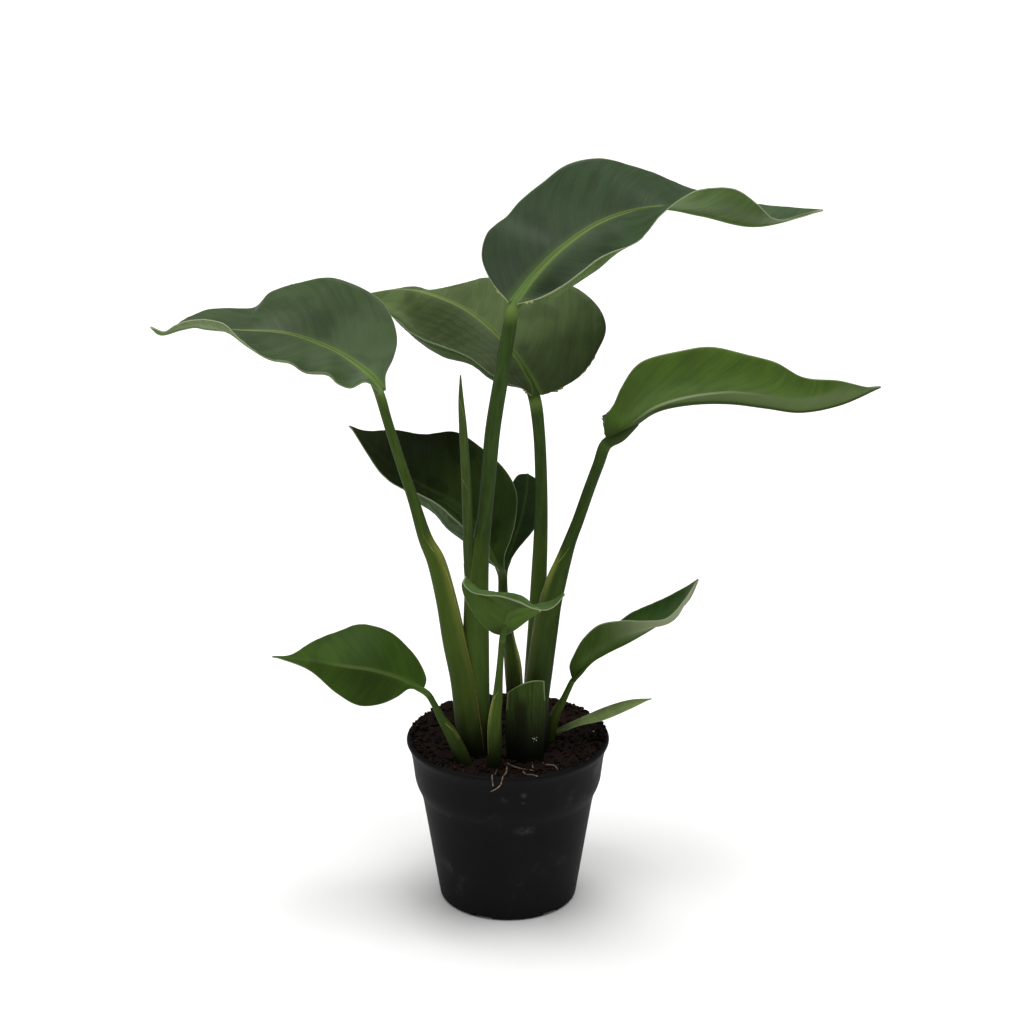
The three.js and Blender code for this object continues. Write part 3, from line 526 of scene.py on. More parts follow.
def ripple(vein, away, edge, seed, folds):
    """The small waves of a blade's side veins, the waves of its margin, and its long folds."""
    size = np.abs(away) + edge
    inner = np.clip(np.abs(away) / 6, 0, 1) * np.clip(size / 20, 0.15, 1)
    swell = 0.6 + 0.4 * np.sin(vein / 11.0 + away / 17.0 + seed)
    margin = np.exp(-edge / 3.0) * np.clip(size / 25, 0.1, 1)
    band = np.clip((-away - 5) / 6, 0, 1) * np.clip(edge / 8, 0, 1)
    pleat = folds * np.sin(away / FOLD_PITCH + 0.5 * np.sin(vein / 30.0)) * band
    fine = waves(FIELD_WAVES, vein, seed) * inner * swell
    return fine + waves(MARGIN_WAVES, vein, seed) * margin + pleat


def add_blade(shell, leaf, look, seed):
    """A closed, thin blade with its sunken midrib above and its keel below."""
    u = np.linspace(0, 1, BLADE_ROWS + 1)[:, None]
    petiole = leaf["stem"][-1][3]
    rib_width = RIB_WIDTH[1] + (RIB_WIDTH[0] * petiole - RIB_WIDTH[1]) * (1 - np.sqrt(u))
    keel_height = KEEL_HEIGHT[1] + (KEEL_HEIGHT[0] * petiole - KEEL_HEIGHT[1]) * (1 - np.cbrt(u))
    points, normals, vein, away, edge = blade_middle(leaf, rib_width)
    points = points + normals * ripple(vein, away, edge, seed, leaf["folds"])[..., None]
    cross = np.abs(away) / rib_width
    half = 0.5 * (BLADE_MIDDLE + (BLADE_EDGE - BLADE_MIDDLE) * np.abs(away) / (np.abs(away) + edge))
    groove = GROOVE_DEPTH * rib_width * np.clip(1 - cross**2, 0, 1) ** 2
    keel = keel_height * np.clip(1 - (cross / KEEL_REACH) ** 2, 0, 1) ** 0.8
    upper = points + normals * (half - groove)[..., None]
    under = points - normals * (half + keel)[..., None]
    grain = triples(vein, away, edge)
    shell.add_sheet(upper, under, look, grain, triples(0.0, cross, u), triples(1.0, cross, u))
    return points, normals


# ---- Stems ----

STEM_SIDES = 36
STEM_STEP = 2.2
STRAND_SIDES = 8
STRAND_STEP = 1.0
FLAP_THICKNESS = 0.45
FLAP_BOW = 0.9
FRILL_THICKNESS = 0.28
BLUNT_THICKNESS = 0.84


def rings(middle, first, second, radius, angle):
    """Points round a line, at angles from its first direction towards its second."""
    over, up = (radius * turn for turn in (np.cos(angle), np.sin(angle)))
    return middle[:, None] + first[:, None] * over[..., None] + second[:, None] * up[..., None]


def add_stem(shell, stations, look, seam=0.0, twist=0.0, roll=0.0):
    """A round stem through its stations. A seam is the step where a rolled edge overlaps."""
    count = max(12, int(length_of(stations) / STEM_STEP))
    samples = curve(stations, count)
    middle, radius = samples[:, :3], samples[:, 3:]
    forward = unit(np.gradient(middle, axis=0))
    front = unit(FRONT - forward * (forward @ FRONT)[:, None])
    angle = np.linspace(-np.pi, np.pi, STEM_SIDES, endpoint=False)
    share = np.linspace(0, 1, count)[:, None]
    turn = np.mod(angle + roll + twist * share, 2 * np.pi)
    out = radius * (1 + seam * (turn / (2 * np.pi) - 0.5))
    points = rings(middle, front, np.cross(forward, front), out, angle)
    grain = triples(share, share * length_of(middle), points[..., 2])
    place = triples(np.cos(angle), np.sin(angle), 0 * out)
    shell.add(points.reshape(-1, 3), tube_faces(count, STEM_SIDES), look, grain, place)


def add_strand(shell, path, radii, look):
    """A thin round strand along a path, such as a sheath's edge or a root."""
    count = max(8, int(length_of(path) / STRAND_STEP))
    samples = curve([(*point, radius) for point, radius in zip(path, radii)], count)
    middle, radius = samples[:, :3], samples[:, 3:]
    forward = unit(np.gradient(middle, axis=0))
    helper = np.where(np.abs(forward[:, 2:3]) > 0.9, [[1.0, 0.0, 0.0]], [[0.0, 0.0, 1.0]])
    first = unit(np.cross(forward, helper))
    angle = np.linspace(0, 2 * np.pi, STRAND_SIDES, endpoint=False)
    points = rings(middle, first, np.cross(forward, first), radius, angle)
    share = np.linspace(0, 1, count)[:, None]
    grain = triples(share, share * length_of(middle), points[..., 2])
    shell.add(points.reshape(-1, 3), tube_faces(count, STRAND_SIDES), look, grain, grain)


def on_stem(stations, places, lift):
    """Points on a stem at heights, each so far across it, from -1 at left to 1 at right."""
    samples = curve(stations, 200)
    points = []
    for height, across in places:
        x, y, radius = (np.interp(height, samples[:, 2], samples[:, n]) for n in (0, 1, 3))
        forward = math.sqrt(max(0.0, 1 - across * across))
        out = radius + lift
        points.append((x + out * across, y - out * forward, height))
    return points


def add_sheet(shell, rows, normals, thickness, look):
    """A closed thin sheet over rows of points, with its shares across and along as its map."""
    along = np.linspace(0, 1, rows.shape[0])[:, None]
    across = np.linspace(0, 1, rows.shape[1])
    half = normals * (thickness / 2)
    grain = triples(8 * across, rows[..., 2], rows[..., 2])
    place = triples(across, along, across)
    shell.add_sheet(rows + half, rows - half, look, grain, place, place)


def add_flap(shell, inner, outer, look):
    """A sheath's free edge: a curved strip from a stem's surface to its own margin."""
    a, b = (curve(line, 40)[:, None] for line in (inner, outer))
    t = np.linspace(0, 1, 9)[None, :, None]
    rows = a * (1 - t) + b * t + 4 * t * (1 - t) * FRONT * FLAP_BOW
    normals = unit(np.cross(np.gradient(rows, axis=1), np.gradient(rows, axis=0)))
    add_sheet(shell, rows, normals, FLAP_THICKNESS, look)


def add_frill(shell, margin, rib, normals, reach, chance, look):
    """The torn, curled skin at the foot of a blade's margin."""
    teeth = 2 * len(margin) // 3 + 2
    steps = np.linspace(0, len(margin) - 1, 6 * teeth)
    rails = (margin, rib, normals)
    edge, middle, up = (read_at(steps, range(len(margin)), values) for values in rails)
    out = unit(edge - middle)
    heights = [chance.uniform(0.6, 1.0) if k % 2 else chance.uniform(0.1, 0.35) for k in range(teeth)]
    width = reach * np.interp(np.linspace(0, teeth - 1, len(steps)), range(teeth), heights)
    width *= np.sin(np.linspace(0.15, math.pi - 0.15, len(steps)))
    lift = 0.6 * np.sin(np.linspace(0, 2.2 * math.pi, len(steps)))
    torn = edge + out * width[:, None] + up * (lift * width)[:, None]
    rows = np.stack([edge - out * 0.3, (edge + torn) / 2 + up * 0.2, torn], axis=1)
    add_sheet(shell, rows, up[:, None], FRILL_THICKNESS, look)


# ---- Materials ----

RIB_BASE_COLOUR = "#5a7234"
RIB_TIP_COLOUR = "#74824c"
COLLAR_COLOUR = "#6b8440"
# A painted sheen on the under side, between the rib and the pale streak.
PAINTED_SHEEN_COLOUR = "#56643f"
STREAK_COLOUR = "#8f9c78"
# The pale margin, partly a painted highlight on the edge; also the painted sheen towards a blade's tip.
PALE_EDGE_AND_PAINTED_SHEEN = "#9ea685"
SHEATH_COLOUR = "#4d611f"
STRIP_COLOUR = "#747a37"
MUD_COLOUR = "#0c0b07"

# The heights between which mud comes on: over stems, over edges and strands, and over the short leaf.
STEM_MUD = (152.0, 109.0)
EDGE_MUD = (126.0, 103.0)
BLUNT_MUD = (156.0, 118.0)


def channels(code):
    """The three parts of a #rrggbb code, from 0 to 255."""
    return [int(code[n:n + 2], 16) for n in (1, 3, 5)]


def linear(code):
    """A linear colour from a #rrggbb code."""
    parts = [part / 255 for part in channels(code)]
    return [c / 12.92 if c <= 0.04045 else ((c + 0.055) / 1.055) ** 2.4 for c in parts] + [1.0]


def shade(code, factor):
    """A colour code made lighter or darker."""
    return "#" + "".join(f"{min(255, round(part * factor)):02x}" for part in channels(code))


class Look:
    """A procedural material that is put together node by node."""

    def __init__(self, name, roughness=0.5, specular=0.5):
        self.material = bpy.data.materials.new(name)
        self.material.use_nodes = True
        self.tree = self.material.node_tree
        self.shader = self.tree.nodes["Principled BSDF"]
        self.shader.inputs["Roughness"].default_value = roughness
        self.shader.inputs["Specular IOR Level"].default_value = specular

    def feed(self, socket, value):
        """Sets a socket from a link, a colour code or a plain value."""
        if isinstance(value, bpy.types.NodeSocket):
            self.tree.links.new(value, socket)
        else:
            socket.default_value = linear(value) if isinstance(value, str) else value

    def node(self, kind, inputs=(), **settings):
        """A new node with its settings, and with what goes into its sockets, by name or number."""
        node = self.tree.nodes.new(kind)
        for key, value in settings.items():
            setattr(node, key, value)
        for socket, value in inputs:
            self.feed(node.inputs[socket], value)
        return node

    def attribute(self, name):
        """One of the piece's maps, split in three."""
        source = self.node("ShaderNodeAttribute", attribute_name=name)
        return self.node("ShaderNodeSeparateXYZ", [(0, source.outputs["Vector"])]).outputs

    def vector(self, *sides):
        """A vector from three values."""
        return self.node("ShaderNodeCombineXYZ", enumerate(sides)).outputs[0]

    def math(self, operation, *values):
        """One sum."""
        return self.node("ShaderNodeMath", enumerate(values), operation=operation).outputs[0]

    def times(self, value, *factors):
        """A value times each of the factors."""
        for factor in factors:
            value = self.math("MULTIPLY", value, factor)
        return value

    def total(self, *parts):
        """The sum of values, each times its weight, as (value, weight)."""
        result = 0.0
        for part in parts:
            result = self.math("ADD", result, self.times(*part))
        return result

    def step(self, value, low, high, start=0.0, end=1.0):
        """A smooth step of value from low to high, as start to end."""
        inputs = enumerate((value, low, high, start, end))
        return self.node("ShaderNodeMapRange", inputs, interpolation_type="SMOOTHSTEP").outputs[0]

    def noise(self, where, scale, detail=3.0, rough=0.55):
        """Noise at a place."""
        inputs = [("Vector", where), ("Scale", scale), ("Detail", detail), ("Roughness", rough)]
        return self.node("ShaderNodeTexNoise", inputs).outputs["Fac"]

    def mix(self, a, b, *shares):
        """The first colour with so much of the second as the shares multiply to."""
        inputs = [("Factor", self.times(*shares)), (6, a), (7, b)]
        return self.node("ShaderNodeMix", inputs, data_type="RGBA").outputs[2]

    def paint(self, colour, *coats):
        """A colour under coats of others, each as (colour, shares that multiply)."""
        for coat in coats:
            colour = self.mix(colour, *coat)
        return colour

    def mottle(self, tone, code, factor=1.0):
        """A colour that varies a little about a colour code."""
        return self.mix(shade(code, 0.9 * factor), shade(code, 1.1 * factor), tone)

    def here(self):
        """The point's place in the object, in metres."""
        return self.node("ShaderNodeTexCoord").outputs["Object"]

    def finish(self, colour, roughness=None, height=None, strength=0.3, distance=0.0004):
        """Wires colour, roughness and bump to the shader."""
        self.feed(self.shader.inputs["Base Color"], colour)
        if roughness is not None:
            self.feed(self.shader.inputs["Roughness"], roughness)
        if height is not None:
            inputs = [("Strength", strength), ("Distance", distance), ("Height", height)]
            self.feed(self.shader.inputs["Normal"], self.node("ShaderNodeBump", inputs).outputs[0])
        return self.material


def upper_side(look, leaf, tone, share, away):
    """The colour of a blade's upper side."""
    # The tones of the left, right, base and tip are partly the leaf's own and partly painted light and
    # shade.
    left, right, base, tip = (look.mottle(tone, leaf["upper"], factor) for factor in leaf["tones_with_painted_light"])
    blotch = look.noise(look.here(), 52, 2, 0.4)
    return look.paint(
        left,
        (right, look.step(away, -2, 3)),
        (base, look.step(share, leaf["base_reach"], 0.02)),
        (tip, look.step(share, 0.35, 0.95)),
        (shade(leaf["upper"], 0.75), look.step(blotch, 0.57, 0.68), 0.35),
    )


def under_side(look, leaf, tone, share, away):
    """The colour of a blade's under side."""
    left, right = (look.mottle(tone, leaf["under"], factor) for factor in (leaf["under_left"], 1))
    coats = [
        (right, look.step(away, -6, 2)),
        (shade(leaf["under"], 0.6), look.step(share, 0.14, 0.02, 0, 0.6)),
    ]
    if leaf["haze"]:
        # A painted sheen on the under side towards the tip.
        coats.append((PALE_EDGE_AND_PAINTED_SHEEN, look.step(share, 0.35, 0.85), leaf["haze"]))
    return look.paint(left, *coats)


def streaked(look, leaf, bottom, share, away):
    """An under side with a pale streak that strays from the rib, a painted sheen between it and the rib,
    and painted shade beside its base.
    """
    stray = look.math("SUBTRACT", away, look.step(share, 0.03, 0.68, 0, leaf["streak"]))
    streak = look.step(look.math("ABSOLUTE", stray), 2.6, 0.2)
    return look.paint(
        bottom,
        # Painted sheen between the rib and the streak.
        (PAINTED_SHEEN_COLOUR, look.step(stray, 1.5, -2, 0, 0.6)),
        # Painted shade on the left half near the base.
        (shade(leaf["under"], 0.4), look.step(away, 0, -2), look.step(share, 0.35, 0.2), 0.95),
        (STREAK_COLOUR, streak, look.step(share, 0.68, 0.3), 0.8),
    )


def blade_look(name, leaf):
    """A leathery blade: dark above, brighter below, a light midrib and a pale margin that is partly a
    painted highlight, with painted light, shade and sheen in places.
    """
    upper, under = leaf["upper"], leaf["under"]
    look = Look(name, specular=leaf["gloss"])
    vein, away, edge = look.attribute("grain")
    below, cross, share = look.attribute("place")
    fine = look.noise(look.vector(vein, look.times(away, 0.05), below), 1.5, 4)
    broad = look.noise(look.vector(vein, look.times(away, 0.25), below), 0.16, 2)
    cloud = look.noise(look.here(), 28, 2)
    tone = look.step(look.total((fine, 0.22), (broad, 0.33), (cloud, 0.45)), 0.38, 0.62)
    top = upper_side(look, leaf, tone, share, away)
    bottom = under_side(look, leaf, tone, share, away)
    # Painted shade: dark lines over the left half, as in the creases of long folds.
    if leaf["lines"]:
        wave = look.math("SINE", look.times(look.total((away, 1), (broad, 3.5)), 1.9))
        fading = (look.step(away, -2, -7), look.step(share, 0.7, 0.5))
        line = look.times(look.step(wave, 0.1, 1), leaf["lines"], *fading)
        top = look.mix(top, shade(upper, 0.72), line)
        bottom = look.mix(bottom, shade(under, 0.6), line)
    if leaf["streak"]:
        bottom = streaked(look, leaf, bottom, share, away)
    rib = look.mix(RIB_BASE_COLOUR, RIB_TIP_COLOUR, look.step(share, 0, 0.8))
    rib = look.mix(rib, leaf["keel_colour"] or shade(under, 1.2), below)
    light, end, start = leaf["rib_light"], leaf["rib_end"], leaf["margin_from"]
    nearby = look.times(cross, look.step(share, 0, 0.4, 1 / leaf["rib_spread"], 1))
    fading = look.step(share, end + 0.15, end - 0.15)
    halo = look.step(share, 0.5, 0, 0.08 * light, 0.26 * light)
    pale = look.step(share, start - 0.15, start, 0.3, leaf["margin_light"])
    colour = look.paint(
        top,
        (bottom, below),
        (rib, look.step(nearby, 2, 0.8), 0.85 * light, fading),
        (rib, look.step(cross, 5, 1), halo),
        # The pale margin: partly its own colour, partly a painted highlight on the edge.
        (PALE_EDGE_AND_PAINTED_SHEEN, look.step(edge, 0.6, 0.2), pale),
    )
    roughness = look.total((below, 0.16), (look.step(cloud, 0.3, 0.7, 0.42, 0.54), 1))
    height = look.total((fine, 0.7), (broad, 1))
    return look.finish(colour, roughness, height, strength=0.35, distance=0.0005)


def stem_look(name, leaf):
    """A petiole and its sheath: faint streaks, painted shade down its sides and towards its foot, a
    yellower free edge, mud at its foot.
    """
    look = Look(name, specular=0.03)
    share, along, height = look.attribute("grain")
    facing, sideways, _ = look.attribute("place")
    streak = look.noise(look.vector(facing, sideways, look.times(along, 0.008)), 4.5, 4)
    patch = look.noise(look.vector(facing, sideways, look.times(along, 0.05)), 1.2, 2)
    tone = look.step(look.total((streak, 0.4), (patch, 0.6)), 0.36, 0.64)
    # The colour of the painted shade down the stem's sides and towards its foot.
    dark = shade(leaf["petiole"], 0.6)
    mouth, joint = leaf["mouth"], leaf["joint"]
    inside = look.step(height, mouth + 4, mouth - 12)
    coats = [
        # Painted shade: darker towards the stem's sides.
        (dark, look.step(look.math("ABSOLUTE", facing), 0, 0.85, 0.6, 0)),
        (SHEATH_COLOUR, inside, leaf["sheath"]),
        # Painted shade: darker towards the stem's foot.
        (dark, look.step(height, 200, 145), leaf["deep"]),
    ]
    if leaf["strip"]:
        strip = look.step(look.times(sideways, leaf["strip"]), leaf["strip_start"], 0.85)
        fading = look.step(height, leaf["strip_foot"], mouth - 10, 0.15, 0.85)
        coats.append((STRIP_COLOUR, strip, inside, fading))
    mud = look.step(look.total((height, 1), (patch, 14)), *STEM_MUD)
    coats += [
        (COLLAR_COLOUR, look.step(share, joint - 0.032, joint + 0.004, 0, leaf["collar"])),
        (leaf["keel_colour"] or leaf["under"], look.step(share, joint - 0.004, joint + 0.012)),
        (MUD_COLOUR, mud, leaf["mud"]),
    ]
    colour = look.paint(look.mottle(tone, leaf["petiole"]), *coats)
    roughness = look.step(patch, 0.3, 0.7, 0.42, 0.54)
    return look.finish(colour, roughness, streak, strength=0.2, distance=0.0003)


def strand_look(name, start, end):
    """A thin strand that goes from one colour to another, with darker spots."""
    look = Look(name, roughness=0.6, specular=0.15)
    share, along, height = look.attribute("grain")
    spots = look.noise(look.vector(along, share, 0), 0.45, 3)
    colour = look.paint(
        start,
        (end, look.step(share, 0.1, 0.8)),
        (shade(start, 0.7), look.step(spots, 0.45, 0.7)),
        (MUD_COLOUR, look.step(height, *EDGE_MUD), 0.6),
    )
    return look.finish(colour, None, spots, strength=0.3, distance=0.0003)


def speckled_look(name, roughness, specular, scale, colours, strength):
    """A rough surface of two colours in fine speckles."""
    look = Look(name, roughness, specular)
    speckle = look.noise(look.here(), scale)
    colour = look.mix(*colours, look.step(speckle, 0.35, 0.65))
    return look.finish(colour, None, speckle, strength, distance=0.0003)


def root_look():
    """Thin pale roots with soil on them."""
    return speckled_look("surface_root", 0.75, 0.1, 260, ("#8a7868", "#4a3a30"), 0.5)


def grit_look():
    """Pale perlite grains."""
    return speckled_look("perlite_grain", 0.85, 0.3, 1800, ("#7d776c", "#b9b4a8"), 0.6)


def blunt_look():
    """The short sheath leaf: green at its top, browner down its front, muddy at its foot."""
    look = Look("short_sheath_skin", specular=0.03)
    across, along, edge = look.attribute("grain")
    width, _, height = look.attribute("place")
    streak = look.noise(look.vector(across, look.times(along, 0.05), 0), 1.2, 4)
    band = (look.step(width, 0.12, 0.3), look.step(width, 0.62, 0.4), look.step(height, 142, 132))
    mud = look.step(look.total((height, 1), (streak, 16)), *BLUNT_MUD)
    colour = look.paint(
        "#2c3b17",
        ("#38491e", look.step(streak, 0.35, 0.65)),
        ("#1c170d", *band, look.math("ADD", streak, 0.2)),
        ("#8b9a66", look.step(edge, 0.7, 0.2), 0.5),
        (MUD_COLOUR, mud, 0.93),
    )
    return look.finish(colour, look.step(streak, 0.3, 0.7, 0.42, 0.55), streak, 0.3, 0.0004)


def pot_look():
    """Charcoal moulded plastic: fine grain, faint mould lines, dust and a few scuffs."""
    look = Look("pot_plastic", specular=0.04)
    here = look.here()
    x, y, z = look.attribute("grain")
    dust = look.noise(here, 55, 5, 0.65)
    film = look.noise(here, 14)
    streak = look.noise(look.vector(look.times(x, 0.05), look.times(y, 0.05), z), 0.55)
    grain = look.noise(here, 1500, 2)
    worn = look.step(look.noise(here, 240), 0.38, 0.66, 0.15, 1)
    coats = [
        ("#171718", look.step(film, 0.35, 0.7)),
        ("#5b5751", look.step(dust, 0.60, 0.78), 0.2),
        ("#2c2c2c", look.step(z, COLLAR_FOOT - 1, COLLAR_FOOT + 3), 0.15),
    ]
    for place, radius, strength in SCUFFS:
        ends = [(0, here), (1, [side * MM for side in place])]
        gap = look.node("ShaderNodeVectorMath", ends, operation="DISTANCE").outputs["Value"]
        coats.append(("#63605b", look.step(gap, radius * MM, 0), worn, strength))
    coats.append(("#1a120d", look.step(z, 95, 101), look.step(dust, 0.42, 0.6), 0.75))
    colour = look.paint("#121213", *coats)
    roughness = look.step(streak, 0.3, 0.7, 0.48, 0.62)
    height = look.total((grain, 0.25), (streak, 0.8))
    return look.finish(colour, roughness, height, strength=0.25, distance=0.0003)


def soil_look(name, dark, light, red):
    """Damp peat, in browns from near black to reddish."""
    look = Look(name, specular=0.12)
    here = look.here()
    own = look.attribute("grain")[0]
    crumb = look.noise(here, 420, 5, 0.7)
    cloud = look.noise(here, 60)
    tone = look.step(look.total((crumb, 0.6), (own, 0.4)), 0.3, 0.7)
    colour = look.paint(dark, (light, tone), (red, look.step(cloud, 0.52, 0.7, 0, 0.85)))
    roughness = look.step(crumb, 0.3, 0.7, 0.75, 0.95)
    return look.finish(colour, roughness, crumb, strength=0.9, distance=0.0012)


def floor_look():
    """A plain pale floor with the slightest unevenness."""
    look = Look("studio_floor", roughness=0.9, specular=0.1)
    return look.finish(look.mix("#ededed", "#f1f1f0", look.noise(look.here(), 1.5, 2)))


# ---- Pot ----


def inner_radius(height):
    """The inside radius of the pot at a height."""
    heights = [0, BODY_TOP, COLLAR_FOOT, POT_HEIGHT]
    radii = [BASE_RADIUS, BODY_TOP_RADIUS, COLLAR_RADIUS - 1, COLLAR_RADIUS + 1.5]
    return float(np.interp(height, heights, radii)) - WALL


def rounded(section, reach):
    """A section with each of its corners rounded by a short curve of four steps."""
    smooth = [section[0]]
    for before, corner, after in zip(section, section[1:], section[2:]):
        before, corner, after = (np.array(p, float) for p in (before, corner, after))
        back, ahead = before - corner, after - corner
        a = corner + back * min(0.45, reach / max(np.linalg.norm(back), 1e-6))
        b = corner + ahead * min(0.45, reach / max(np.linalg.norm(ahead), 1e-6))
        for t in (0.0, 0.25, 0.5, 0.75, 1.0):
            smooth.append(tuple((1 - t) ** 2 * a + 2 * t * (1 - t) * corner + t * t * b))
    smooth.append(section[-1])
    return smooth


def slot_cutter():
    """The boxes that cut the drainage slots."""
    builder = bmesh.new()
    for k in range(SLOT_COUNT):
        turn = FIRST_SLOT_ANGLE + 2 * math.pi * k / SLOT_COUNT
        for vertex in bmesh.ops.create_cube(builder, size=1.0)["verts"]:
            x = vertex.co.x * SLOT_DEPTH * 2 + BASE_RADIUS
            y = vertex.co.y * SLOT_WIDTH
            z = vertex.co.z * SLOT_HEIGHT * 2
            vertex.co = Vector((x * math.cos(turn) - y * math.sin(turn),
                                x * math.sin(turn) + y * math.cos(turn), z)) * MM
    mesh = bpy.data.meshes.new("slots")
    builder.to_mesh(mesh)
    builder.free()
    return put("slots", mesh)


def make_pot(material):
    """The pot as one turned, thin-walled shell with its drainage slots cut in its foot."""
    section = [
        (0, 0), (BASE_RADIUS - 1.5, 0), (BASE_RADIUS - 0.3, 1.2), (BASE_RADIUS + 0.2, 4),
        (BODY_TOP_RADIUS - 0.3, BODY_TOP), (BODY_TOP_RADIUS + 0.8, 67), (COLLAR_RADIUS - 2.2, 72.5),
        (COLLAR_RADIUS - 1, 76.5), (COLLAR_RADIUS + 0.8, 91), (COLLAR_RADIUS + 2.0, 96),
        (RIM_RADIUS - 0.8, 98.4), (RIM_RADIUS, 100.2), (RIM_RADIUS - 0.5, POT_HEIGHT - 0.5),
        (RIM_RADIUS - 1.6, POT_HEIGHT), (inner_radius(POT_HEIGHT), POT_HEIGHT - 0.4),
        (inner_radius(POT_HEIGHT - 4), POT_HEIGHT - 4), (inner_radius(COLLAR_FOOT), COLLAR_FOOT),
        (inner_radius(BODY_TOP), BODY_TOP), (inner_radius(FLOOR), FLOOR), (0, FLOOR),
    ]
    smooth = rounded(section, CORNER)[1:-1]
    angle = np.linspace(0, 2 * np.pi, POT_SIDES, endpoint=False)
    points = []
    for radius, height in smooth:
        out = radius + OUT_OF_ROUND * np.sin(2 * angle + 0.6) * min(1, height / BODY_TOP)
        points.append(triples(out * np.cos(angle), out * np.sin(angle), height))
    points = np.vstack(points)
    shell = Shell()
    shell.add(points, tube_faces(len(smooth), POT_SIDES), 0, points, points)
    pot = shell.build("pot_shell", [material])
    knife = slot_cutter()
    cut = pot.modifiers.new("slots", "BOOLEAN")
    cut.operation = "DIFFERENCE"
    cut.solver = "EXACT"
    cut.object = knife
    bpy.context.view_layer.update()
    graph = bpy.context.evaluated_depsgraph_get()
    finished = bpy.data.meshes.new_from_object(pot.evaluated_get(graph))
    pot.modifiers.clear()
    pot.data = finished
    bpy.data.objects.remove(knife)
    for polygon in finished.polygons:
        polygon.use_smooth = True
    finished.set_sharp_from_angle(angle=math.radians(42))
    return pot


# ---- Soil ----


def come_to(change, distance):
    """How much a change in height has come to at a distance."""
    by, start, end = change
    t = min(1.0, max(0.0, (distance - start) / (end - start)))
    return by * t * t * (3 - 2 * t)


def soil_height(x, y):
    """How high the soil stands at a place."""
    bank = come_to(SOIL_BACK_RISE, y) + come_to(SOIL_FRONT_DROP, -y)
    wall = come_to(SOIL_WALL_RISE, math.hypot(x, y))
    wave = math.sin(x / SOIL_LUMP_PITCH + 1) * math.cos(y / SOIL_LUMP_PITCH)
    return SOIL_LEVEL + bank + wall + SOIL_LUMP * wave


def rough_height(x, y):
    """The soil's height with its crumbs."""
    place = Vector((x, y, 0.0))
    lumps = noise.fractal(place / 5.5, 0.9, 2.1, 5)
    clods = 1.3 * max(0.0, noise.noise(place / 3.1 + Vector((7.0, 3.0, 1.0))))
    return soil_height(x, y) + lumps + clods


def make_soil(material):
    """The potting soil: a closed body with a crumbly top."""
    outer = inner_radius(SOIL_LEVEL) - CLEARANCE
    angles = [2 * math.pi * k / SOIL_SIDES for k in range(SOIL_SIDES)]
    points = []
    for ring in range(1, SOIL_RINGS + 1):
        radius = outer * ring / SOIL_RINGS
        for angle in angles:
            x, y = radius * math.cos(angle), radius * math.sin(angle)
            points.append((x, y, rough_height(x, y)))
    for height in (COLLAR_FOOT, BODY_TOP, SOIL_FLOOR):
        radius = inner_radius(height) - CLEARANCE
        points += [(radius * math.cos(angle), radius * math.sin(angle), height) for angle in angles]
    faces = grid_faces(SOIL_RINGS + 3, SOIL_SIDES, closed=True, flip=True)
    crown, foot = len(points), len(points) + 1
    lowest = crown - SOIL_SIDES
    points += [(0.0, 0.0, rough_height(0, 0)), (0.0, 0.0, SOIL_FLOOR)]
    for k in range(SOIL_SIDES):
        following = (k + 1) % SOIL_SIDES
        faces.append((crown, k, following))
        faces.append((foot, lowest + following, lowest + k))
    points = np.array(points)
    grain = triples(0.5, 0.0, points[:, 2])
    shell = Shell()
    shell.add(points, faces, 0, grain, grain)
    return shell.build("soil_bed", [material])


def lump(chance, size, stretch):
    """The points and faces of one irregular crumb."""
    builder = bmesh.new()
    bmesh.ops.create_icosphere(builder, subdivisions=2 if size > 1.6 else 1, radius=1.0)
    turn = Vector([chance.uniform(-1, 1) for _ in range(3)])
    offset = Vector([chance.uniform(0, 99) for _ in range(3)])
    points = []
    spin = turn.to_track_quat("Z", "Y")
    for vertex in builder.verts:
        bumpy = 1 + 0.45 * noise.noise(vertex.co * 1.3 + offset)
        flat = Vector((vertex.co.x * stretch, vertex.co.y, vertex.co.z * 0.7)) * bumpy * size
        points.append(tuple(spin @ flat))
    faces = [tuple(v.index for v in face.verts) for face in builder.faces]
    builder.free()
    return np.array(points), faces


def scatter(name, materials, seed, count, size, stretch, reach=(0.0, 1.0)):
    """Many crumbs half sunk in the soil, or on the rim beyond it."""
    chance = random.Random(seed)
    outer = inner_radius(SOIL_LEVEL) - CLEARANCE
    shell = Shell()
    low, high = reach
    for _ in range(count):
        grain_size = chance.uniform(*size) * 0.5
        radius = outer * math.sqrt(chance.uniform(low * low, high * high))
        angle = chance.uniform(0, 2 * math.pi)
        x, y = radius * math.cos(angle), radius * math.sin(angle)
        points, faces = lump(chance, grain_size, chance.uniform(*stretch))
        height = rough_height(x, y) + grain_size * chance.uniform(0.0, 0.5)
        if radius > outer - grain_size:
            if soil_height(x, y) + chance.uniform(0.0, 3.0) < POT_HEIGHT:
                continue
            height = POT_HEIGHT + grain_size * chance.uniform(0.4, 0.9)
        points = points + np.array([x, y, height])
        tone = chance.random()
        grain = triples(tone, tone, points[:, 2])
        look = int(len(materials) > 1 and chance.random() >= PEAT_SHARE)
        shell.add(points, faces, look, grain, grain)
    return shell.build(name, materials)


def make_stuck_perlite():
    """The grains that stick to the short sheath leaf."""
    shell = Shell()
    chance = random.Random(8)
    for place, size in STUCK_PERLITE:
        points, faces = lump(chance, size * 0.5, 1.2)
        grain = triples(points[:, 2], points[:, 2], points[:, 2])
        shell.add(points + np.array(place), faces, 0, grain, grain)
    return shell.build("stuck_perlite", [grit_look()])


def make_roots():
    """The roots on the soil, each thinner towards its end."""
    shell = Shell()
    for path in ROOTS:
        add_strand(shell, path, np.linspace(0.5, 0.28, len(path)), 0)
    return shell.build("surface_roots", [root_look()])


# ---- The scene ----


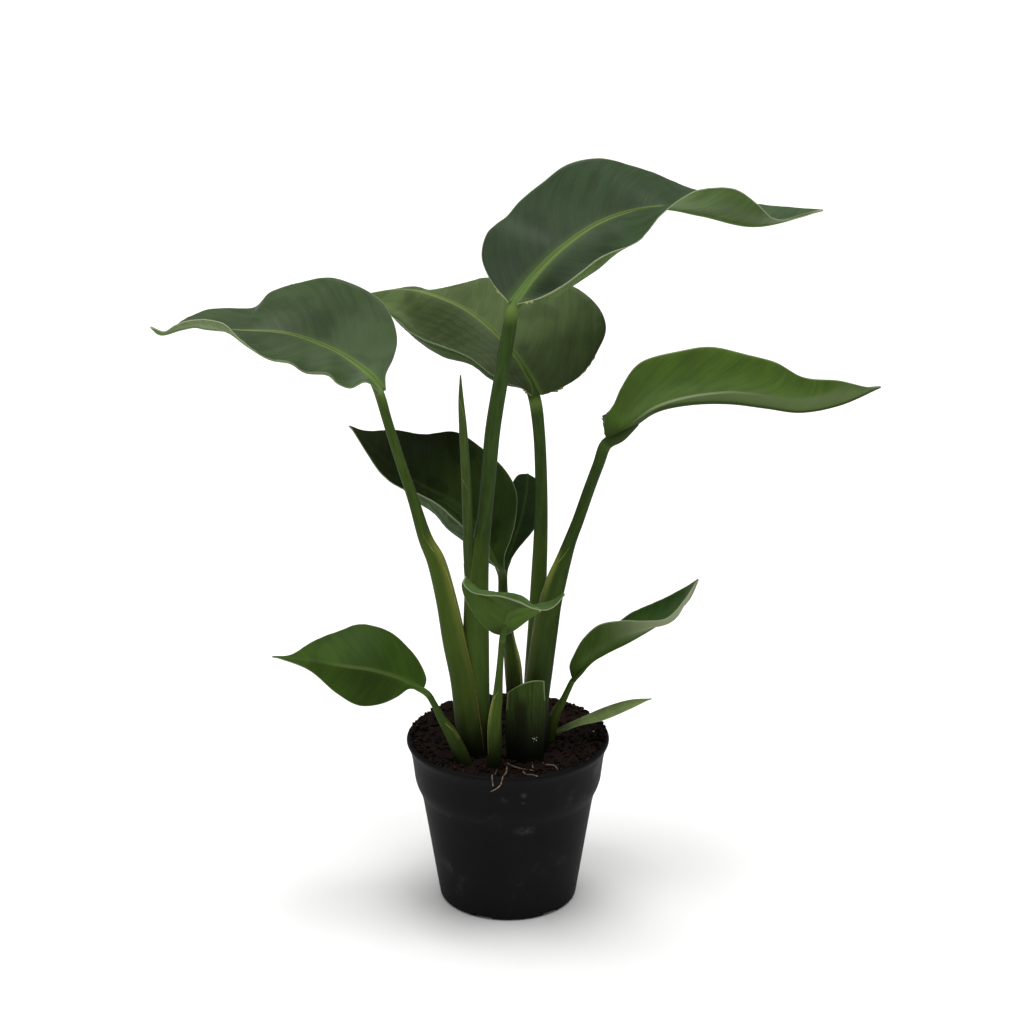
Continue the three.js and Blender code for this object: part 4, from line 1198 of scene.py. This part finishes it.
def make_camera():
    """The camera at the photograph's place."""
    data = bpy.data.cameras.new("camera")
    data.lens = CAMERA_LENS
    data.sensor_width = 36
    data.clip_end = 50
    camera = put("camera", data)
    camera.location = CAMERA_PLACE
    camera.rotation_euler = (math.radians(CAMERA_TILT), 0, 0)
    bpy.context.scene.camera = camera


def area_light(name, place, target, size, power):
    """A soft box that looks at a target."""
    data = bpy.data.lights.new(name, "AREA")
    data.shape = "RECTANGLE"
    data.size, data.size_y = size
    data.energy = power
    lamp = put(name, data)
    lamp.location = place
    lamp.rotation_euler = (Vector(target) - Vector(place)).to_track_quat("-Z", "Y").to_euler()


def make_studio(material):
    """A pale floor, an even sky, a broad light overhead and a soft box at each side."""
    scene = bpy.context.scene
    scene.view_settings.view_transform = "Standard"
    world = bpy.data.worlds.new("studio")
    world.use_nodes = True
    sky = world.node_tree.nodes["Background"].inputs
    sky["Color"].default_value = (1, 1, 1, 1)
    sky["Strength"].default_value = SKY_STRENGTH
    scene.world = world
    sun = bpy.data.lights.new("overhead", "SUN")
    sun.energy = SUN_POWER
    sun.angle = math.radians(SUN_SPREAD)
    put("overhead", sun).rotation_euler = (math.radians(SUN_TILT), 0, 0)
    area_light("box_left", (-1.3, -0.5, 0.9), (0, 0, 0.2), (0.7, 1.2), 2)
    area_light("box_right", (1.4, -0.4, 0.9), (0, 0, 0.2), (0.7, 1.2), 1.5)
    mesh = bpy.data.meshes.new("studio_floor")
    builder = bmesh.new()
    bmesh.ops.create_grid(builder, x_segments=8, y_segments=8, size=FLOOR_HALF)
    builder.to_mesh(mesh)
    builder.free()
    mesh.materials.append(material)
    put("studio_floor", mesh)


def dress(piece, node=None):
    """Puts a finished piece on the root body, in the place of its solid where it has one."""
    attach(piece, "root")
    if node:
        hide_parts(node)


def make_leaf(name, leaf, seed):
    """One leaf: its blade, and its petiole with its sheath."""
    leaf = PLAIN_LEAF | leaf
    chance = random.Random(name)
    shell = Shell()
    stem = leaf["stem"]
    radius = stem[-1][3]
    points, normals = add_blade(shell, leaf, 0, seed)
    middle = points.shape[1] // 2
    sunk = []
    for row, share in ((1, 0.9), (2, 0.65), (3, 0.4)):
        i = round(row / leaf["rows"] * BLADE_ROWS)
        place = points[i, middle] - normals[i, middle] * radius * share * 0.8
        sunk.append((*place, radius * share))
    add_stem(shell, stem + sunk, 1)
    leaf["joint"] = length_of(stem) / length_of(stem + sunk)
    if leaf["edge"]:
        path = on_stem(stem, leaf["edge"], 0.05)
        add_strand(shell, path, [0.04, 0.2] + [0.34] * (len(path) - 3) + [0.22], 2)
    if name == "leaf_right_high":
        root = on_stem(stem, [(height, FLAP_ROOT) for _, _, height in SHEATH_FLAP], -0.3)
        add_flap(shell, root, SHEATH_FLAP, 1)
        add_strand(shell, SHEATH_FLAP, [0.3] * len(SHEATH_FLAP), 2)
    for side, start, end, reach in leaf["frills"]:
        rails = (points[:, side], points[:, middle], normals[:, side])
        add_frill(shell, *(values[start:end] for values in rails), reach, chance, 3)
    materials = [
        blade_look(f"{name}_blade", leaf),
        stem_look(f"{name}_petiole", leaf),
        strand_look(f"{name}_edge", *leaf["edge_colours"]),
        strand_look(f"{name}_frill", *leaf["frill_colours"]),
    ]
    dress(shell.build(f"{name}_piece", materials), name)


def make_spear():
    """The rolled leaf that hasn't opened."""
    shell = Shell()
    add_stem(shell, SPEAR_STATIONS, 0, seam=0.22, twist=2.4, roll=0.4)
    for seam in SPEAR_SEAMS:
        widths = [0.12] + [0.22] * (len(seam) - 2) + [0.12]
        add_strand(shell, on_stem(SPEAR_STATIONS, seam, 0.0), widths, 1)
    materials = [
        stem_look("spear_leaf_skin", PLAIN_LEAF | SPEAR_COLOURS),
        strand_look("spear_leaf_seam", "#66753f", "#465429"),
    ]
    dress(shell.build("spear_leaf_piece", materials), "spear_leaf")


def make_blunt():
    """The short sheath leaf, one clasping arc from side to side."""
    rows, columns = 60, 41
    left, rib, right = (curve(BLUNT_LEAF[side], rows) for side in ("left", "rib", "right"))
    t = np.linspace(0, 1, columns)[None, :, None]
    near, middle, far = (2 * t - 1) * (t - 1), 4 * t * (1 - t), t * (2 * t - 1)
    points = left[:, None] * near + rib[:, None] * middle + right[:, None] * far
    normals = unit(np.cross(np.gradient(points, axis=1), np.gradient(points, axis=0)))
    across = length_of([left[0], rib[0], right[0]]) * t[..., 0] + 0 * points[..., 0]
    share = np.linspace(0, 1, rows)[:, None] + 0 * across
    top = (1 - share) * length_of(rib)
    edge = np.minimum(top, np.minimum(across, across[:, -1:] - across) * 0.6 + 3 * (share < 0.8))
    half = normals * (BLUNT_THICKNESS / 2)
    grain = triples(across, share * length_of(rib), edge)
    place = triples(t[..., 0], share, points[..., 2])
    shell = Shell()
    shell.add_sheet(points + half, points - half, 0, grain, place, place)
    dress(shell.build("leaf_short_blunt_piece", [blunt_look()]), "leaf_short_blunt")


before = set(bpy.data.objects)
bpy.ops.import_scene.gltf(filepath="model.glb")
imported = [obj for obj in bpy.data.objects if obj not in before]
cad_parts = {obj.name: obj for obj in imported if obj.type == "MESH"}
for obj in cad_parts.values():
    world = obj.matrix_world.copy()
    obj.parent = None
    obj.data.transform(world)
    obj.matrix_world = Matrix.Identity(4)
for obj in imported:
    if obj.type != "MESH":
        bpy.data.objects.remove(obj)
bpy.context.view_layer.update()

make_camera()
make_studio(floor_look())

dress(make_pot(pot_look()), "pot")
peat = soil_look("soil_peat", "#0b0705", "#1e130b", "#22110b")
bark = soil_look("soil_bark", "#180d08", "#301c12", "#2d1610")
dress(make_soil(peat), "soil")
crumbs = scatter("soil_crumbs", [peat, bark], 11, 950, (0.9, 3.2), (1.0, 1.8))
dress(crumbs)
spill = scatter("rim_crumbs", [peat, bark], 23, 900, (0.7, 2.3), (1.0, 1.6), (0.98, 1.05))
dress(spill)
dress(scatter("perlite_grains", [grit_look()], 5, 13, (0.6, 1.4), (1.0, 1.3)))
dress(make_stuck_perlite())
dress(make_roots())

for number, (name, leaf) in enumerate(LEAVES.items()):
    make_leaf(name, leaf, 1.0 + 0.7 * number)

make_spear()
make_blunt()
